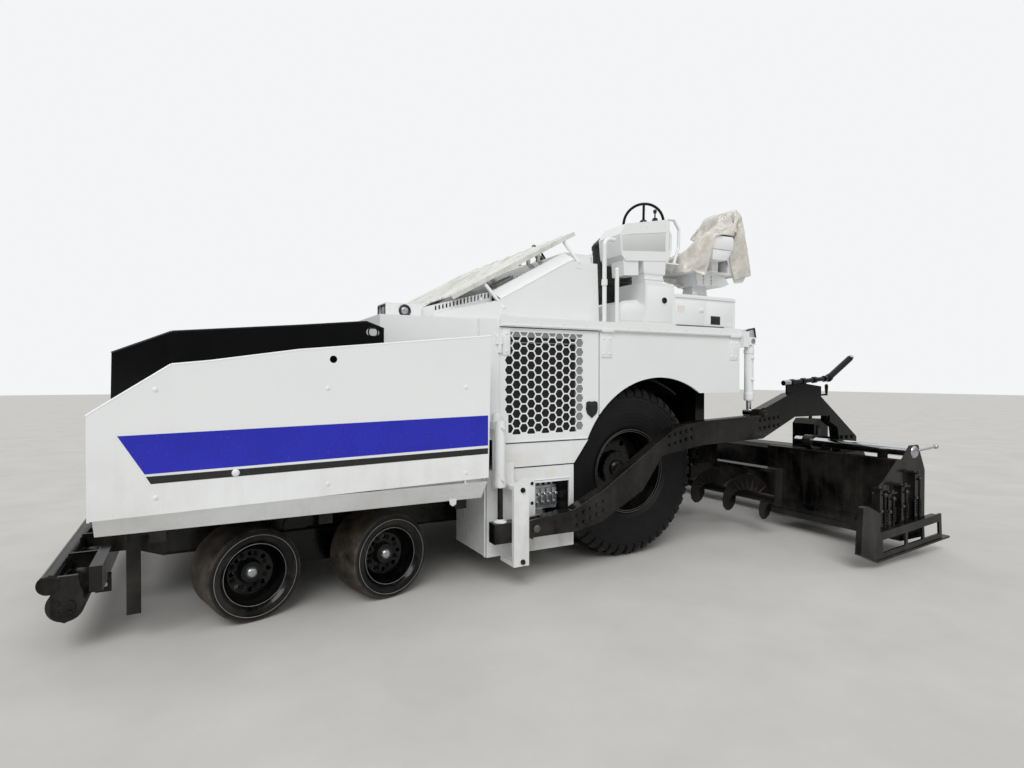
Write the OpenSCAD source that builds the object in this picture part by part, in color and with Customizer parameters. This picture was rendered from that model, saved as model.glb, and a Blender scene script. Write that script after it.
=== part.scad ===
// Asphalt paver on rubber tyres, with a ten-foot hydraulic screed behind it.
// X runs forward, Y to the machine's left, and Z up from the ground.
// A station is a distance behind the axle of the foremost wheels.

/* [Layout] */
// Place of the foremost wheel axle ahead of the origin
front_x = 2475; // [2440:5:2510]
// Distance between the two axles of each front bogie
bogie_spread = 840; // [800:10:880]
// Station of the drive axle
drive_st = 2970; // [2950:5:2990]
// Play left between seated pieces
seat_gap = 0.3; // [0.2:0.1:0.5]
// Radial play of a pin in its bore
pin_play = 0.06; // [0.03:0.01:0.1]

/* [Front wheels] */
// Diameter of a front tyre
front_tyre_d = 565; // [540:5:580]
// Width of a front tyre
front_tyre_w = 356; // [330:4:360]
// Diameter of a front rim
front_rim_d = 400; // [380:5:420]
// Distance of a kingpin from the machine's middle
kingpin_y = 770; // [765:5:785]
// Distance of a front wheel's middle from its kingpin
kingpin_offset = 270; // [260:5:290]
// Angle at which the front wheels stand, turned to the left
steer_rest = 15; // [0:1:20]
// Radius of a kingpin
kingpin_r = 26; // [22:1:30]
// Radius of a front wheel's axle stub
stub_r = 35; // [30:1:40]

/* [Drive wheels] */
// Diameter of a drive tyre over its lugs
drive_tyre_d = 1420; // [1400:5:1430]
// Width of a drive tyre
drive_tyre_w = 430; // [400:5:440]
// Diameter of a drive rim
drive_rim_d = 690; // [660:5:720]
// Distance of a drive wheel's middle from the machine's middle
drive_y = 1005; // [995:5:1015]
// Height of the tread lugs
lug_h = 26; // [18:1:34]
// Number of lugs on each side of a drive tyre
lug_n = 26; // [22:2:30]
// Radius of a drive wheel's shaft
drive_shaft_r = 75; // [65:5:85]

/* [Frame] */
// Distance of the frame plates' outer faces from the middle
frame_y = 600; // [590:5:610]
// Thickness of a frame plate
frame_t = 20; // [16:2:24]
// Station of the frame's front end
frame_front_st = -560; // [-580:10:-540]
// Station of the frame's rear end
frame_rear_st = 4250; // [4230:10:4270]
// Height of the frame's lower edge
frame_low_z = 320; // [300:10:340]
// Height of the conveyor floor
conveyor_z = 600; // [580:5:620]
// Height of the tunnel's roof over the conveyors
tunnel_z = 1040; // [1020:5:1060]

/* [Hopper] */
// Station of the hopper sides' front edge
hopper_front_st = -690; // [-700:5:-670]
// Station of the hopper sides' rear edge
hopper_rear_st = 1540; // [1520:5:1550]
// Distance of the hopper sides' outer faces from the middle
hopper_y = 1525; // [1515:5:1535]
// Thickness of a hopper side
hopper_t = 12; // [8:1:16]
// Distance of the folding wings' walls from the middle
wing_y = 1390; // [1380:5:1400]
// Thickness of a folding wing
wing_t = 12; // [8:1:16]
// Distance of the wing hinges from the middle
wing_hinge_y = 650; // [640:5:660]
// Height of the wing hinges
wing_hinge_z = 720; // [710:5:735]
// Radius of a wing hinge pin
wing_pin_r = 14; // [12:1:16]

/* [Body] */
// Distance of the side skins' outer faces from the middle
body_y = 1300; // [1290:5:1310]
// Height of the operator's deck
deck_z = 1900; // [1890:5:1910]
// Station of the body's front wall
body_front_st = 860; // [855:1:865]
// Station of the body's rear edge
body_rear_st = 4150; // [4140:5:4160]
// Height of the hex grille doors' lower edge
door_low_z = 1010; // [1000:5:1020]
// Station of the hex grille doors' front edge
door_front_st = 1725; // [1715:5:1735]
// Station of the hex grille doors' rear edge
door_rear_st = 2585; // [2575:5:2595]
// Width across the flats of a hexagon hole
hex_flat = 43; // [38:1:45]
// Web between two hexagon holes
hex_web = 8; // [6:1:10]

/* [Hood] */
// Slope of the hood and of the cover over it
hood_slope = 28.7; // [27:0.1:30]
// Distance of the hood sides' outer faces from the middle
hood_y = 1150; // [1140:5:1160]
// Half width of the cover over the hood
cover_y = 1100; // [1080:5:1110]
// Station of the cover's front edge
cover_st = 1430; // [1420:5:1440]
// Height of the cover's underside at its front edge
cover_z = 2070; // [2060:5:2080]
// Pitch of the slots in the hood
slot_pitch = 48; // [44:1:60]

/* [Tow arms and screed] */
// Distance of the tow arms' middle planes from the machine's middle
arm_y = 1410; // [1400:5:1415]
// Width of a tow arm
arm_w = 96; // [90:2:100]
// Station of the tow pin
tow_st = 1930; // [1920:5:1940]
// Height of the tow pin
tow_z = 410; // [400:5:420]
// Radius of the tow pin
tow_pin_r = 28; // [24:1:32]
// Station of the front plate of the screed extensions
strike_st = 4900; // [4890:5:4910]
// Half width of the main screed
screed_y = 1524; // [1500:4:1540]
// Distance of the end gates' outer faces from the middle
gate_y = 2370; // [2340:5:2380]
// Height of the screed's bottom above the ground
screed_low_z = 120; // [110:5:140]
// Height of the screed's top
screed_high_z = 760; // [740:5:780]
// Height of an end gate's shoe above the ground
shoe_z = 45; // [40:5:60]
// Radius of a screed extension's guide tube
guide_r = 45; // [40:1:50]

/* [Cylinders] */
// Station of the screed lift cylinders
lift_st = 4270; // [4260:5:4280]
// Distance of the screed lift cylinders from the machine's middle
lift_y = 1300; // [1295:1:1302]
// Height of the upper pin of a screed lift cylinder
lift_top_z = 1815; // [1805:5:1825]
// Height of the rod eye of a screed lift cylinder
lift_eye_z = 1165; // [1155:5:1175]
// Radius of a screed lift cylinder's barrel
lift_r = 40; // [36:1:41]
// Station of the tow-point cylinders
tow_cyl_st = 1665; // [1655:5:1675]

/* [Auger] */
// Station of the augers
auger_st = 4540; // [4530:5:4550]
// Height of the augers' axis
auger_z = 350; // [340:5:360]
// Radius of the augers
auger_r = 200; // [180:5:210]

/* [Hidden] */

white = "white";
black = "#18181a";
steel = "#8a8a88";
rubber = "#2a2a2c";

front_tyre_r = front_tyre_d / 2;
drive_tyre_r = drive_tyre_d / 2;
hood_rear_st = 2700;
hood_edge_st = 1240;
deck_t = 50;
deck_low_z = deck_z - deck_t;
skin_t = 16;
lift_pin_r = 18;
lift_rod_r = 22;
tow_rod_r = 19;
auger_pin_r = 24;
auger_end_y = 1402;

// X of a place given by its station
function at(station) = front_x - station;

// Both sides of the machine from the shape of its left side
module both() {
    children();
    mirror([0, 1, 0]) children();
}

// A left shape, or its mirror image when side is -1
module on_side(side) {
    if (side > 0) children();
    else mirror([0, 1, 0]) children();
}

// A plate whose outline is drawn as stations and heights, from y0 to y1
module side_plate(outline, y0, y1) {
    translate([0, y1, 0]) rotate([90, 0, 0]) linear_extrude(y1 - y0)
        polygon([for (p = outline) [at(p[0]), p[1]]]);
}

// A bar whose section is drawn as Y and Z, from station s0 to station s1
module long_bar(section, s0, s1) {
    translate([at(s1), 0, 0]) rotate([90, 0, 90]) linear_extrude(s1 - s0) polygon(section);
}

// A box from station s0 to s1, y0 to y1 and z0 to z1
module block(s0, s1, y0, y1, z0, z1) {
    translate([at(s1), y0, z0]) cube([s1 - s0, y1 - y0, z1 - z0]);
}

// A round bar along Y at a station and height
module bar_y(s, z, y0, y1, r) {
    translate([at(s), y1, z]) rotate([90, 0, 0]) cylinder(h = y1 - y0, r = r, $fn = 48);
}

// A round bar along Z
module bar_z(s, y, z0, z1, r) {
    translate([at(s), y, z0]) cylinder(h = z1 - z0, r = r, $fn = 48);
}

// A round bar between two places, each given as station, Y and height
module strut(a, b, r) {
    v = [a[0] - b[0], b[1] - a[1], b[2] - a[2]];
    translate([at(a[0]), a[1], a[2]]) rotate([0, acos(v[2] / norm(v)), atan2(v[1], v[0])])
        cylinder(h = norm(v), r = r, $fn = 32);
}

// A round tube bent along places, each given as station, Y and height
module bent_tube(places, r) {
    for (i = [1 : len(places) - 1]) strut(places[i - 1], places[i], r);
    for (i = [1 : len(places) - 2]) translate([at(places[i][0]), places[i][1], places[i][2]])
        sphere(r = r * 1.06, $fn = 32);
}

// Frame

bogie_pivot_st = bogie_spread / 2;
bogie_low_z = 170;
bogie_high_z = 395;
bogie_y0 = frame_y + 20;
bogie_y1 = frame_y + 60;
frame_cut_st = body_front_st + 60;
hopper_frame_z = 690;

module main_frame() color(black) {
    both() side_plate([
        [frame_front_st, frame_low_z + 60], [frame_front_st, hopper_frame_z],
        [frame_cut_st, hopper_frame_z], [frame_cut_st, tunnel_z],
        [frame_rear_st, tunnel_z], [frame_rear_st, frame_low_z + 160],
        [frame_rear_st - 320, frame_low_z], [frame_front_st + 160, frame_low_z]
    ], frame_y - frame_t, frame_y);
    inner = frame_y - frame_t;
    for (s = [frame_front_st, bogie_pivot_st - 90, 1400, 2200, drive_st - 110, frame_rear_st - 180])
        block(s, s + 160, -inner, inner, frame_low_z + 60, frame_low_z + 180);
    block(frame_cut_st, frame_rear_st, -inner, inner, tunnel_z - 12, tunnel_z);
    // wheel houses round the front and top of the drive tyres
    both() intersection() {
        difference() {
            bar_y(drive_st, drive_tyre_r, frame_y + seat_gap, body_y - 36, drive_tyre_r + 70);
            bar_y(drive_st, drive_tyre_r, frame_y - 2, body_y, drive_tyre_r + 58);
        }
        block(drive_st - 900, drive_st + 450, frame_y - 2, body_y, 900, 1700);
    }
    // outriggers that carry the hopper sides
    both() for (s = [-430, 440, 1320])
        block(s, s + 80, frame_y + seat_gap, hopper_y - 95, 605, 665);
    // brackets and pins of the wing hinges
    both() for (end = [[wing_front_st, 1], [wing_rear_st, -1]]) {
        s0 = end[0] + end[1] * 5 - (end[1] < 0 ? 30 : 0);
        block(s0, s0 + 30, frame_y + seat_gap, wing_hinge_y + 30, hopper_frame_z - 30, wing_hinge_z + 25);
        translate([at(end[0] + end[1] * 20), wing_hinge_y, wing_hinge_z]) rotate([0, -90 * end[1], 0])
            translate([0, 0, -1]) cylinder(h = 130, r = wing_pin_r, $fn = 48);
    }
}

module drive_hubs() color(black) both() difference() {
    union() {
        bar_y(drive_st, drive_tyre_r, frame_y + seat_gap, frame_y + 60, 210);
        bar_y(drive_st, drive_tyre_r, frame_y + 60, drive_y - 90, 165);
        bar_y(drive_st, drive_tyre_r, drive_y - 90, drive_y + 40, drive_shaft_r);
    }
    bar_y(drive_st, drive_tyre_r, drive_y + 20, drive_y + 41, 30);
}

module bogie_beams() color(black) both() difference() {
    union() {
        side_plate([
            [-110, bogie_low_z], [-110, bogie_high_z], [bogie_spread + 110, bogie_high_z],
            [bogie_spread + 110, bogie_low_z]
        ], bogie_y0, bogie_y1);
        bar_y(bogie_pivot_st, frame_low_z + 100, frame_y + seat_gap, bogie_y0 + 1, 80);
        for (s = [0, bogie_spread], z = [bogie_low_z, bogie_high_z - 25]) {
            block(s - 50, s + 50, bogie_y1 - 1, kingpin_y, z, z + 25);
            bar_z(s, kingpin_y, z, z + 25, 50);
        }
    }
    for (s = [0, bogie_spread])
        bar_z(s, kingpin_y, bogie_low_z - 1, bogie_high_z + 1, kingpin_r + pin_play);
}

module knuckle(side, s) on_side(side) color(black)
    translate([at(s), kingpin_y, 0]) rotate([0, 0, side * steer_rest]) {
        translate([0, 0, bogie_low_z - 8]) cylinder(h = bogie_high_z - bogie_low_z + 16, r = kingpin_r, $fn = 48);
        translate([0, 0, bogie_low_z + 26]) cylinder(h = bogie_high_z - bogie_low_z - 52, r = 46, $fn = 48);
        translate([0, 0, front_tyre_r]) rotate([-90, 0, 0]) {
            cylinder(h = kingpin_offset - 60, r = 48, $fn = 48);
            cylinder(h = kingpin_offset + 70, r = stub_r, $fn = 48);
        }
    }

// Turns a shape drawn around Z into a front wheel, its outer side up
module front_wheel(side, s) on_side(side)
    translate([at(s), kingpin_y, front_tyre_r]) rotate([0, 0, side * steer_rest])
        translate([0, kingpin_offset, 0]) rotate([-90, 0, 0]) children();

module front_tyre(side, s) color(rubber) front_wheel(side, s) {
    w = front_tyre_w / 2;
    r = front_tyre_r;
    rotate_extrude($fn = 96) polygon([
        [front_rim_d / 2 + seat_gap, -w + 14], [front_rim_d / 2 + 20, -w], [r - 22, -w],
        [r - 6, -w + 12], [r, -w + 40], [r, w - 40], [r - 6, w - 12], [r - 22, w],
        [front_rim_d / 2 + 20, w], [front_rim_d / 2 + seat_gap, w - 14]
    ]);
}

module front_rim(side, s) color(black) front_wheel(side, s) difference() {
    r = front_rim_d / 2;
    w = front_tyre_w / 2 - 20;
    rotate_extrude($fn = 96) polygon([
        [stub_r + pin_play, -50], [75, -50], [75, 40], [r - 60, 56], [r - 14, 30], [r - 14, -w],
        [r, -w], [r, w], [r - 14, w], [r - 14, 44], [r - 62, 72], [75, 58], [62, 90],
        [stub_r + pin_play, 90]
    ]);
    for (a = [0 : 45 : 315]) rotate([0, 0, a]) translate([r - 88, 0, 0]) cylinder(h = 100, r = 15, $fn = 32);
}

// Drive wheels

module drive_wheel(side) on_side(side)
    translate([at(drive_st), drive_y, drive_tyre_r]) rotate([-90, 0, 0]) children();

module drive_tyre(side) color(rubber) drive_wheel(side) {
    w = drive_tyre_w / 2;
    r = drive_tyre_r - lug_h;
    bead = drive_rim_d / 2 + seat_gap;
    rotate_extrude($fn = 96) polygon([
        [bead, -w + 30], [bead + 40, -w + 4], [r - 200, -w], [r - 90, -w + 6], [r - 22, -w + 34],
        [r, -w + 70], [r, w - 70], [r - 22, w - 34], [r - 90, w - 6], [r - 200, w],
        [bead + 40, w - 4], [bead, w - 30]
    ]);
    for (end = [0, 1], i = [0 : lug_n - 1])
        mirror([0, 0, end]) rotate([0, 0, (i + end / 2) * 360 / lug_n]) tread_lug();
}

// A lug that runs from the middle of the tread over the shoulder
module tread_lug() intersection() {
    w = drive_tyre_w / 2;
    r = drive_tyre_r;
    rotate([90, 0, 0]) translate([0, 0, -30]) linear_extrude(60) polygon([
        [r - lug_h - 20, -12], [r, -12], [r, w - 64], [r - 26, w - 24], [r - 110, w + 4],
        [r - 112, w - 20], [r - lug_h - 40, w - 60]
    ]);
    rotate([20, 0, 0]) translate([r - 160, -22, -140]) cube([200, 44, 500]);
}

module drive_rim(side) color(black) drive_wheel(side) difference() {
    r = drive_rim_d / 2;
    w = drive_tyre_w / 2 - 24;
    rotate_extrude($fn = 96) polygon([
        [drive_shaft_r + pin_play, -60], [170, -60], [170, -36], [r - 70, -36], [r - 18, -70],
        [r - 18, -w], [r, -w], [r, w], [r - 18, w], [r - 18, -52], [r - 66, -16],
        [150, -16], [140, 30], [drive_shaft_r + pin_play, 30]
    ]);
    for (a = [0 : 45 : 315]) rotate([0, 0, a + 22.5]) translate([222, 0, -60]) cylinder(h = 70, r = 24, $fn = 32);
}

// Conveyors and hopper

slat_pitch = 210;

module conveyor_floor() color(steel) {
    inner = frame_y - frame_t - seat_gap;
    block(frame_front_st + 20, frame_rear_st + 40, -inner, inner, conveyor_z - 12, conveyor_z);
    block(frame_front_st + 20, frame_rear_st + 40, -30, 30, conveyor_z, conveyor_z + 70);
    // front apron of the hopper
    block(frame_front_st + 20, frame_front_st + 32, -inner, inner, conveyor_z, conveyor_z + 160);
}

module conveyor_slats() color(steel) {
    inner = frame_y - frame_t - 25;
    both() {
        for (s = [frame_front_st + 120 : slat_pitch : frame_rear_st])
            block(s, s + 36, 52, inner, conveyor_z + seat_gap, conveyor_z + 26);
        for (y = [70, inner - 40])
            block(frame_front_st + 110, frame_rear_st + 20, y, y + 24, conveyor_z + seat_gap, conveyor_z + 18);
    }
}

side_top = [[-690, 1290], [-650, 1320], [-320, 1550], [-140, 1570], [320, 1640], [1540, 1760]];

module hopper_sides() color(white) both() difference() {
    union() {
        side_plate([
            for (p = side_top) p, [hopper_rear_st - 20, 815], [hopper_front_st + 10, 765]
        ], hopper_y - hopper_t, hopper_y);
        // bevel that turns in under the side
        long_bar([
            [hopper_y, 790], [hopper_y - hopper_t, 790], [hopper_y - 108, 678],
            [hopper_y - 96, 665 + seat_gap]
        ], hopper_front_st + 20, hopper_rear_st - 30);
        // ribs that stand on the outriggers
        for (s = [-430, 440, 1320])
            long_bar([
                [hopper_y - hopper_t, 1500], [hopper_y - hopper_t, 780], [hopper_y - 100, 665 + seat_gap],
                [hopper_y - 118, 665 + seat_gap], [hopper_y - 44, 800], [hopper_y - 34, 1500]
            ], s + 30, s + 42);
        // front edge flange
        long_bar([
            [hopper_y - 60, 760], [hopper_y, 760], [hopper_y, 1290], [hopper_y - 60, 1290]
        ], hopper_front_st, hopper_front_st + 12);
    }
    bar_y(510, 1590, hopper_y - 40, hopper_y + 1, 22);
}

hinge_places = [door_low_z + 70, deck_low_z - 190];
front_body_end = door_front_st - 10;
wing_front_st = -610;
wing_rear_st = 850;
wing_corner_z = 870;
wing_top = [[-595, 1610], [-320, 1730], [340, 1790], [740, 1830]];

module wing(side) on_side(side) color(black) difference() {
    union() {
        side_plate([
            [wing_front_st, wing_corner_z - 10], for (p = wing_top) p,
            [wing_rear_st, 1790], [wing_rear_st, wing_corner_z - 10]
        ], wing_y - wing_t, wing_y);
        long_bar([
            [wing_hinge_y, wing_hinge_z + 22], [wing_hinge_y, wing_hinge_z + 8], [wing_y, wing_corner_z - 14],
            [wing_y, wing_corner_z]
        ], wing_front_st, wing_rear_st);
        translate([at(wing_rear_st - 60), wing_hinge_y, wing_hinge_z]) rotate([0, 90, 0])
            cylinder(h = wing_rear_st - wing_front_st - 120, r = 28, $fn = 48);
    }
    // oval lifting eye in the rear upper corner
    for (s = [760, 800]) bar_y(s, 1768, wing_y - wing_t - 1, wing_y + 1, 22);
    block(760, 800, wing_y - wing_t - 1, wing_y + 1, 1746, 1790);
    translate([at(wing_rear_st), wing_hinge_y, wing_hinge_z]) rotate([0, 90, 0]) {
        cylinder(h = wing_rear_st - wing_front_st, r = wing_pin_r + pin_play, $fn = 48);
        // notches round the hinge brackets
        translate([0, 0, -1]) cylinder(h = 46, r = 48, $fn = 48);
        translate([0, 0, wing_rear_st - wing_front_st - 45]) cylinder(h = 46, r = 48, $fn = 48);
    }
}

module front_body() color(white) {
    // hinge pins and fixed knuckles of the grille doors
    both() for (z = hinge_places) {
        bar_z(door_front_st + 2, body_y + 6, z + 2, z + 120, 7);
        bar_z(door_front_st + 2, body_y + 6, z + 61, z + 120, 13);
        block(door_front_st - 40, door_front_st + 2, body_y - 1, body_y + 12, z + 61, z + 120);
    }
    // hydraulic tank and bulkhead behind the hopper
    difference() {
        block(body_front_st, front_body_end, -body_y + 40, body_y - 40, tunnel_z + seat_gap, deck_z);
        block(body_front_st + 20, front_body_end - 20, -body_y + 60, body_y - 60, tunnel_z + 20, deck_z - 20);
    }
    both() {
        block(body_front_st, door_front_st - 110, frame_y + 20, body_y - 40, 700, tunnel_z);
        // spacers to the hopper sides
        for (z = [900, 1450])
            block(1400, 1500, body_y - 41, hopper_y - hopper_t - seat_gap, z, z + 60);
        // corner post between hopper side and grille door
        block(hopper_rear_st + 20, front_body_end, body_y - 41, body_y, tunnel_z + seat_gap, deck_z);
    }
}

// Tractor body

arch = [[2640, 1160], [2750, 1220], [3000, 1380], [3210, 1470], [3470, 1470], [3680, 1350]];
tank_low_z = 1500;
tank_y0 = frame_y + 60;

module tractor_body() color(white) both() {
    // skin behind the grille door, cut round the drive tyre
    side_plate([
        [door_rear_st + 10, door_low_z + 20], for (p = arch) p, [body_rear_st, 1350],
        [body_rear_st, deck_low_z - seat_gap], [door_rear_st + 10, deck_low_z - seat_gap]
    ], body_y - skin_t, body_y);
    // fuel tank over the drive wheel
    block(door_rear_st + 120, body_rear_st, tank_y0, body_y - skin_t, tank_low_z, deck_low_z - seat_gap);
    // sill under the grille door
    side_plate([
        [door_front_st, 830], [door_front_st, door_low_z - 8], [2490, door_low_z - 8], [2360, 830]
    ], body_y - 30, body_y - 6);
}

box_front_st = 1620;
box_rear_st = drive_st - 610;
box_low_z = 200;
box_high_z = 820;
guide_st = 1730;
guide_w = 120;
guide_low_z = 170;
guide_high_z = 730;

module side_boxes() color(white) both() difference() {
    union() {
        block(box_front_st, box_rear_st - 170, frame_y + 130, body_y - 30, box_low_z, box_high_z);
        block(box_front_st, box_rear_st - 170, frame_y + seat_gap, frame_y + 130, box_low_z + 240, box_high_z);
        side_plate([
            [box_front_st, box_low_z], [box_front_st, box_high_z], [box_rear_st, box_high_z],
            [box_rear_st, box_low_z]
        ], body_y - 30, body_y - 14);
        // vertical guide of the tow block
        for (y = [body_y - 14 + seat_gap, arm_y + arm_w / 2 + 4])
            block(guide_st, guide_st + guide_w, y, y + 30, guide_low_z, guide_high_z);
        for (z = [guide_low_z, guide_high_z - 26])
            block(guide_st, guide_st + guide_w, body_y - 14 + seat_gap, arm_y + arm_w / 2 + 34, z, z + 26);
        // post from the guide up to the sill
        block(guide_st + 10, guide_st + 80, body_y - 6 + seat_gap, body_y + 40, guide_high_z - 10, box_high_z + 60);
    }
    // recess that holds the valves
    block(box_rear_st - 170, box_rear_st - 40, body_y - 31, body_y, 430, 700);
    block(box_rear_st - 350, box_rear_st - 169, body_y - 200, body_y, 430, 700);
}

// Deck and operator's stations

post_y = 1265;
station_z = 2281;
locker_z = 2204;

module deck() color(white) {
    difference() {
        block(front_body_end + seat_gap, body_rear_st, -body_y - 20, body_y + 20, deck_low_z, deck_z);
        block(door_front_st + 60, hood_rear_st - 60, -hood_y + 60, hood_y - 60, deck_low_z - 1, deck_z + 1);
    }
    both() {
        // battery box with a lid that falls to both ends
        side_plate([
            [2814, deck_z - 1], [2818, 2080], [2870, 2108], [3011, 2125], [3098, 2072], [3098, deck_z - 1]
        ], 920, 1240);
        // box under the console, and the locker under the seat with a chamfered lid
        side_plate([
            [3099, deck_z - 1], [3099, station_z], [3405, station_z], [3414, station_z - 9], [3414, deck_z - 1]
        ], 900, 1248);
        side_plate([
            [3413, deck_z - 1], [3413, locker_z], [body_rear_st - 14, locker_z], [body_rear_st, locker_z - 14],
            [body_rear_st, deck_z - 1]
        ], 720, 1248);
        block(3420, body_rear_st, 1240, 1256, locker_z - 30, locker_z - 12);
        // raised lip along the deck's outer edge
        block(front_body_end + 1, body_rear_st, body_y + 8, body_y + 20, deck_z - 1, deck_z + 22);
        // bracket and housing of the rear work lamp
        block(body_rear_st - 1, 4330, 1196, 1220, 1858, 1882);
        translate([at(4370), 1208, 1890]) rotate([0, 12, 0]) difference() {
            translate([-55, -32, -48]) cube([110, 64, 96]);
            translate([-47, 12, -40]) cube([94, 30, 80]);
        }
    }
    // rear corner bracket and pin of the screed lift cylinders
    both() {
        block(body_rear_st - 1, lift_st - lift_r - 10, lift_y - 48, lift_y + 48, deck_low_z, deck_z);
        block(body_rear_st + seat_gap, lift_st - lift_r - 10, lift_y - 48, lift_y + 48, deck_low_z - 90, deck_low_z + 1);
        for (y = [lift_y - 48, lift_y + 26])
            block(lift_st - lift_r - 11, lift_st + 30, y, y + 22, lift_top_z - 36, deck_low_z);
        bar_y(lift_st, lift_top_z, lift_y - 40, lift_y + 40, lift_pin_r);
    }
}

module engine_block() color("#3c4046")
    block(1850, hood_rear_st - 80, -340, 340, tunnel_z + seat_gap, deck_z + 250);

// Height of the hood's sheet along its middle: station, height
hood_line = [[930, 1914], [1230, 1985], [1770, 2135], [2420, 2490], [hood_rear_st, 2490]];
hood_top_y = 1060;
slope_st = 1770;
slope_z = 2135;
slope_len = 650 / cos(hood_slope);

// Places a shape on the hood's steep part: X up the slope, Z out of it
module on_slope()
    translate([at(slope_st), 0, slope_z]) rotate([0, hood_slope, 0]) mirror([1, 0, 0]) children();

module hood_shell() color(white) {
    difference() {
        union() {
            // top sheet, its front and its rear wall
            side_plate([
                for (p = hood_line) p, [hood_rear_st, deck_z + seat_gap], [hood_rear_st - 12, deck_z + seat_gap],
                for (i = [4 : -1 : 0]) [hood_line[i][0] - (i == 4 ? 12 : 0), hood_line[i][1] - 12]
            ], -hood_top_y, hood_top_y);
            block(930, 942, -hood_top_y, hood_top_y, deck_z + seat_gap, 1914);
            // side plates
            both() {
                side_plate([
                    [hood_edge_st, deck_z + seat_gap], [hood_edge_st + 60, 1940], [slope_st, 2050],
                    [2420, 2405], [2680, 2405], [hood_rear_st, deck_z + seat_gap]
                ], hood_y - 10, hood_y);
                side_plate([
                    [930, deck_z + seat_gap], [930, 1914], [1230, 1985], [1770, 2135], [1770, 2060],
                    [hood_edge_st + 60, 1930], [hood_edge_st, deck_z + seat_gap]
                ], hood_top_y - 10, hood_top_y);
                // bevels from the side plates in to the top sheet
                on_slope() rotate([90, 0, 90]) linear_extrude(slope_len)
                    polygon([[hood_y, -76], [hood_y - 12, -76], [hood_top_y - 4, -12], [hood_top_y - 4, 0]]);
                side_plate([
                    [2420, 2405], [2420, 2490], [2680, 2490], [2680, 2405]
                ], hood_top_y - 10, hood_top_y);
                block(2420, 2680, hood_top_y - 1, hood_y, 2395, 2405);
                block(hood_edge_st + 60, slope_st, hood_top_y - 1, hood_y - 2, 1930, 1940);
            }
        }
        both() {
            // slots in the bevels, in the sheet beside them, and in the sides of the low front
            for (i = [1 : 14]) on_slope() translate([i * slot_pitch, 0, -44]) rotate([35.5, 0, 0])
                translate([0, hood_top_y - 24, -620]) cube([30, 76, 60]);
            for (i = [0 : 8]) on_slope() translate([30 + i * slot_pitch, hood_top_y - 30 - 95 + i * 8, -20])
                cube([30, 95 - i * 8, 40]);
            for (i = [0 : 15]) translate([at(1330 + i * 28), hood_top_y - 20, 1968 + i * 28 * 0.27])
                cube([14, 40, 50]);
            // round opening with its rim, over the exhaust
            on_slope() translate([260, 760, -20]) cylinder(h = 40, r = 95, $fn = 48);
        }
    }
    // legs that carry the cover
    both() for (leg = [[1690, 1830, 2000], [2395, 2500, 2398]]) {
        strut([leg[0], 1068, cover_at(leg[0]) - 8], [leg[1], hood_y - 2, leg[2]], 14);
        on_cover() translate([(leg[0] - cover_st) / cos(hood_slope) - 42, 1030, -12 - seat_gap])
            cube([72, 60, 12]);
        block(leg[1] - 30, leg[1] + 26, hood_y - 14, hood_y + 3, leg[2] - 46, leg[2] + 5);
    }
    // boxes of the front lamps
    both() difference() {
        block(945, 1200, 900, 1100, deck_z + seat_gap, 1998);
        block(944, 1130, 914, 1086, deck_z + 12, 1986);
        bar_y(1080, 1948, 1080, 1101, 34);
    }
    // posts and pins of the cover's hinge
    both() {
        for (y = [390, 564]) {
            block(hinge_st - 14, hinge_st + 14, y, y + 26, lookup(hinge_st - 14, hood_line) - 10, hinge_z);
            bar_y(hinge_st, hinge_z, y, y + 26, 17);
        }
        bar_y(hinge_st, hinge_z, 400, 580, hinge_pin_r);
    }
}

// Height of the cover's underside at a station
function cover_at(station) = cover_z + (station - cover_st) * tan(hood_slope);

// Distance of the cover's hinge ahead of the hood's rear edge
hinge_set_in = 240;
hinge_st = hood_rear_st - hinge_set_in;
cover_len = (hinge_st + 30 - cover_st) / cos(hood_slope);
hinge_z = cover_at(hinge_st) - 24 / cos(hood_slope);
hinge_pin_r = 10;

// Profile of the cover's sheet: Y and height, its edges turned down, a rib for each step
cover_pitch = 240;
cover_section = [
    [-cover_y, -26], [-cover_y, 5],
    for (i = [0 : floor((2 * cover_y - 120) / cover_pitch)])
        let (y = -cover_y + 70 + i * cover_pitch) each [[y, 5], [y + 14, 13], [y + 46, 13], [y + 60, 5]],
    [cover_y, 5], [cover_y, -26], [cover_y - 5, -26], [cover_y - 5, 0], [-cover_y + 5, 0], [-cover_y + 5, -26]
];

// Places a shape on the cover's underside: X up the slope from its front edge
module on_cover()
    translate([at(cover_st), 0, cover_z]) rotate([0, hood_slope, 0]) mirror([1, 0, 0]) children();

module hood_cover() color(white) {
    on_cover() rotate([90, 0, 90]) linear_extrude(cover_len) polygon(cover_section);
    both() difference() {
        union() {
            bar_y(hinge_st, hinge_z, 420, 560, 18);
            on_cover() translate([(hinge_st - cover_st) / cos(hood_slope) - 24 * tan(hood_slope) - 14, 425, -24])
                cube([28, 130, 25]);
        }
        bar_y(hinge_st, hinge_z, 419, 561, hinge_pin_r + pin_play);
    }
}

module rail_posts() color(white) both() {
    bar_z(2666, post_y, deck_z + seat_gap, 2530, 17);
    // hooked top of the front post
    translate([at(2666) - 55, post_y, 2530]) rotate([90, 0, 0]) rotate_extrude(angle = 90, $fn = 48)
        translate([55, 0]) circle(r = 17, $fn = 32);
    translate([at(2720), post_y, 2585]) rotate([0, -90, 0]) cylinder(h = 44, r = 17, $fn = 32);
    bar_z(2666, post_y, 2216, 2262, 24);
    bar_z(2790, post_y, deck_z + seat_gap, 2350, 17);
    translate([at(2790), post_y, 2350]) sphere(r = 18, $fn = 32);
    for (s = [2666, 2790]) block(s - 22, s + 22, post_y - 34, post_y + 34, deck_z + seat_gap, deck_z + 10);
}

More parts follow.
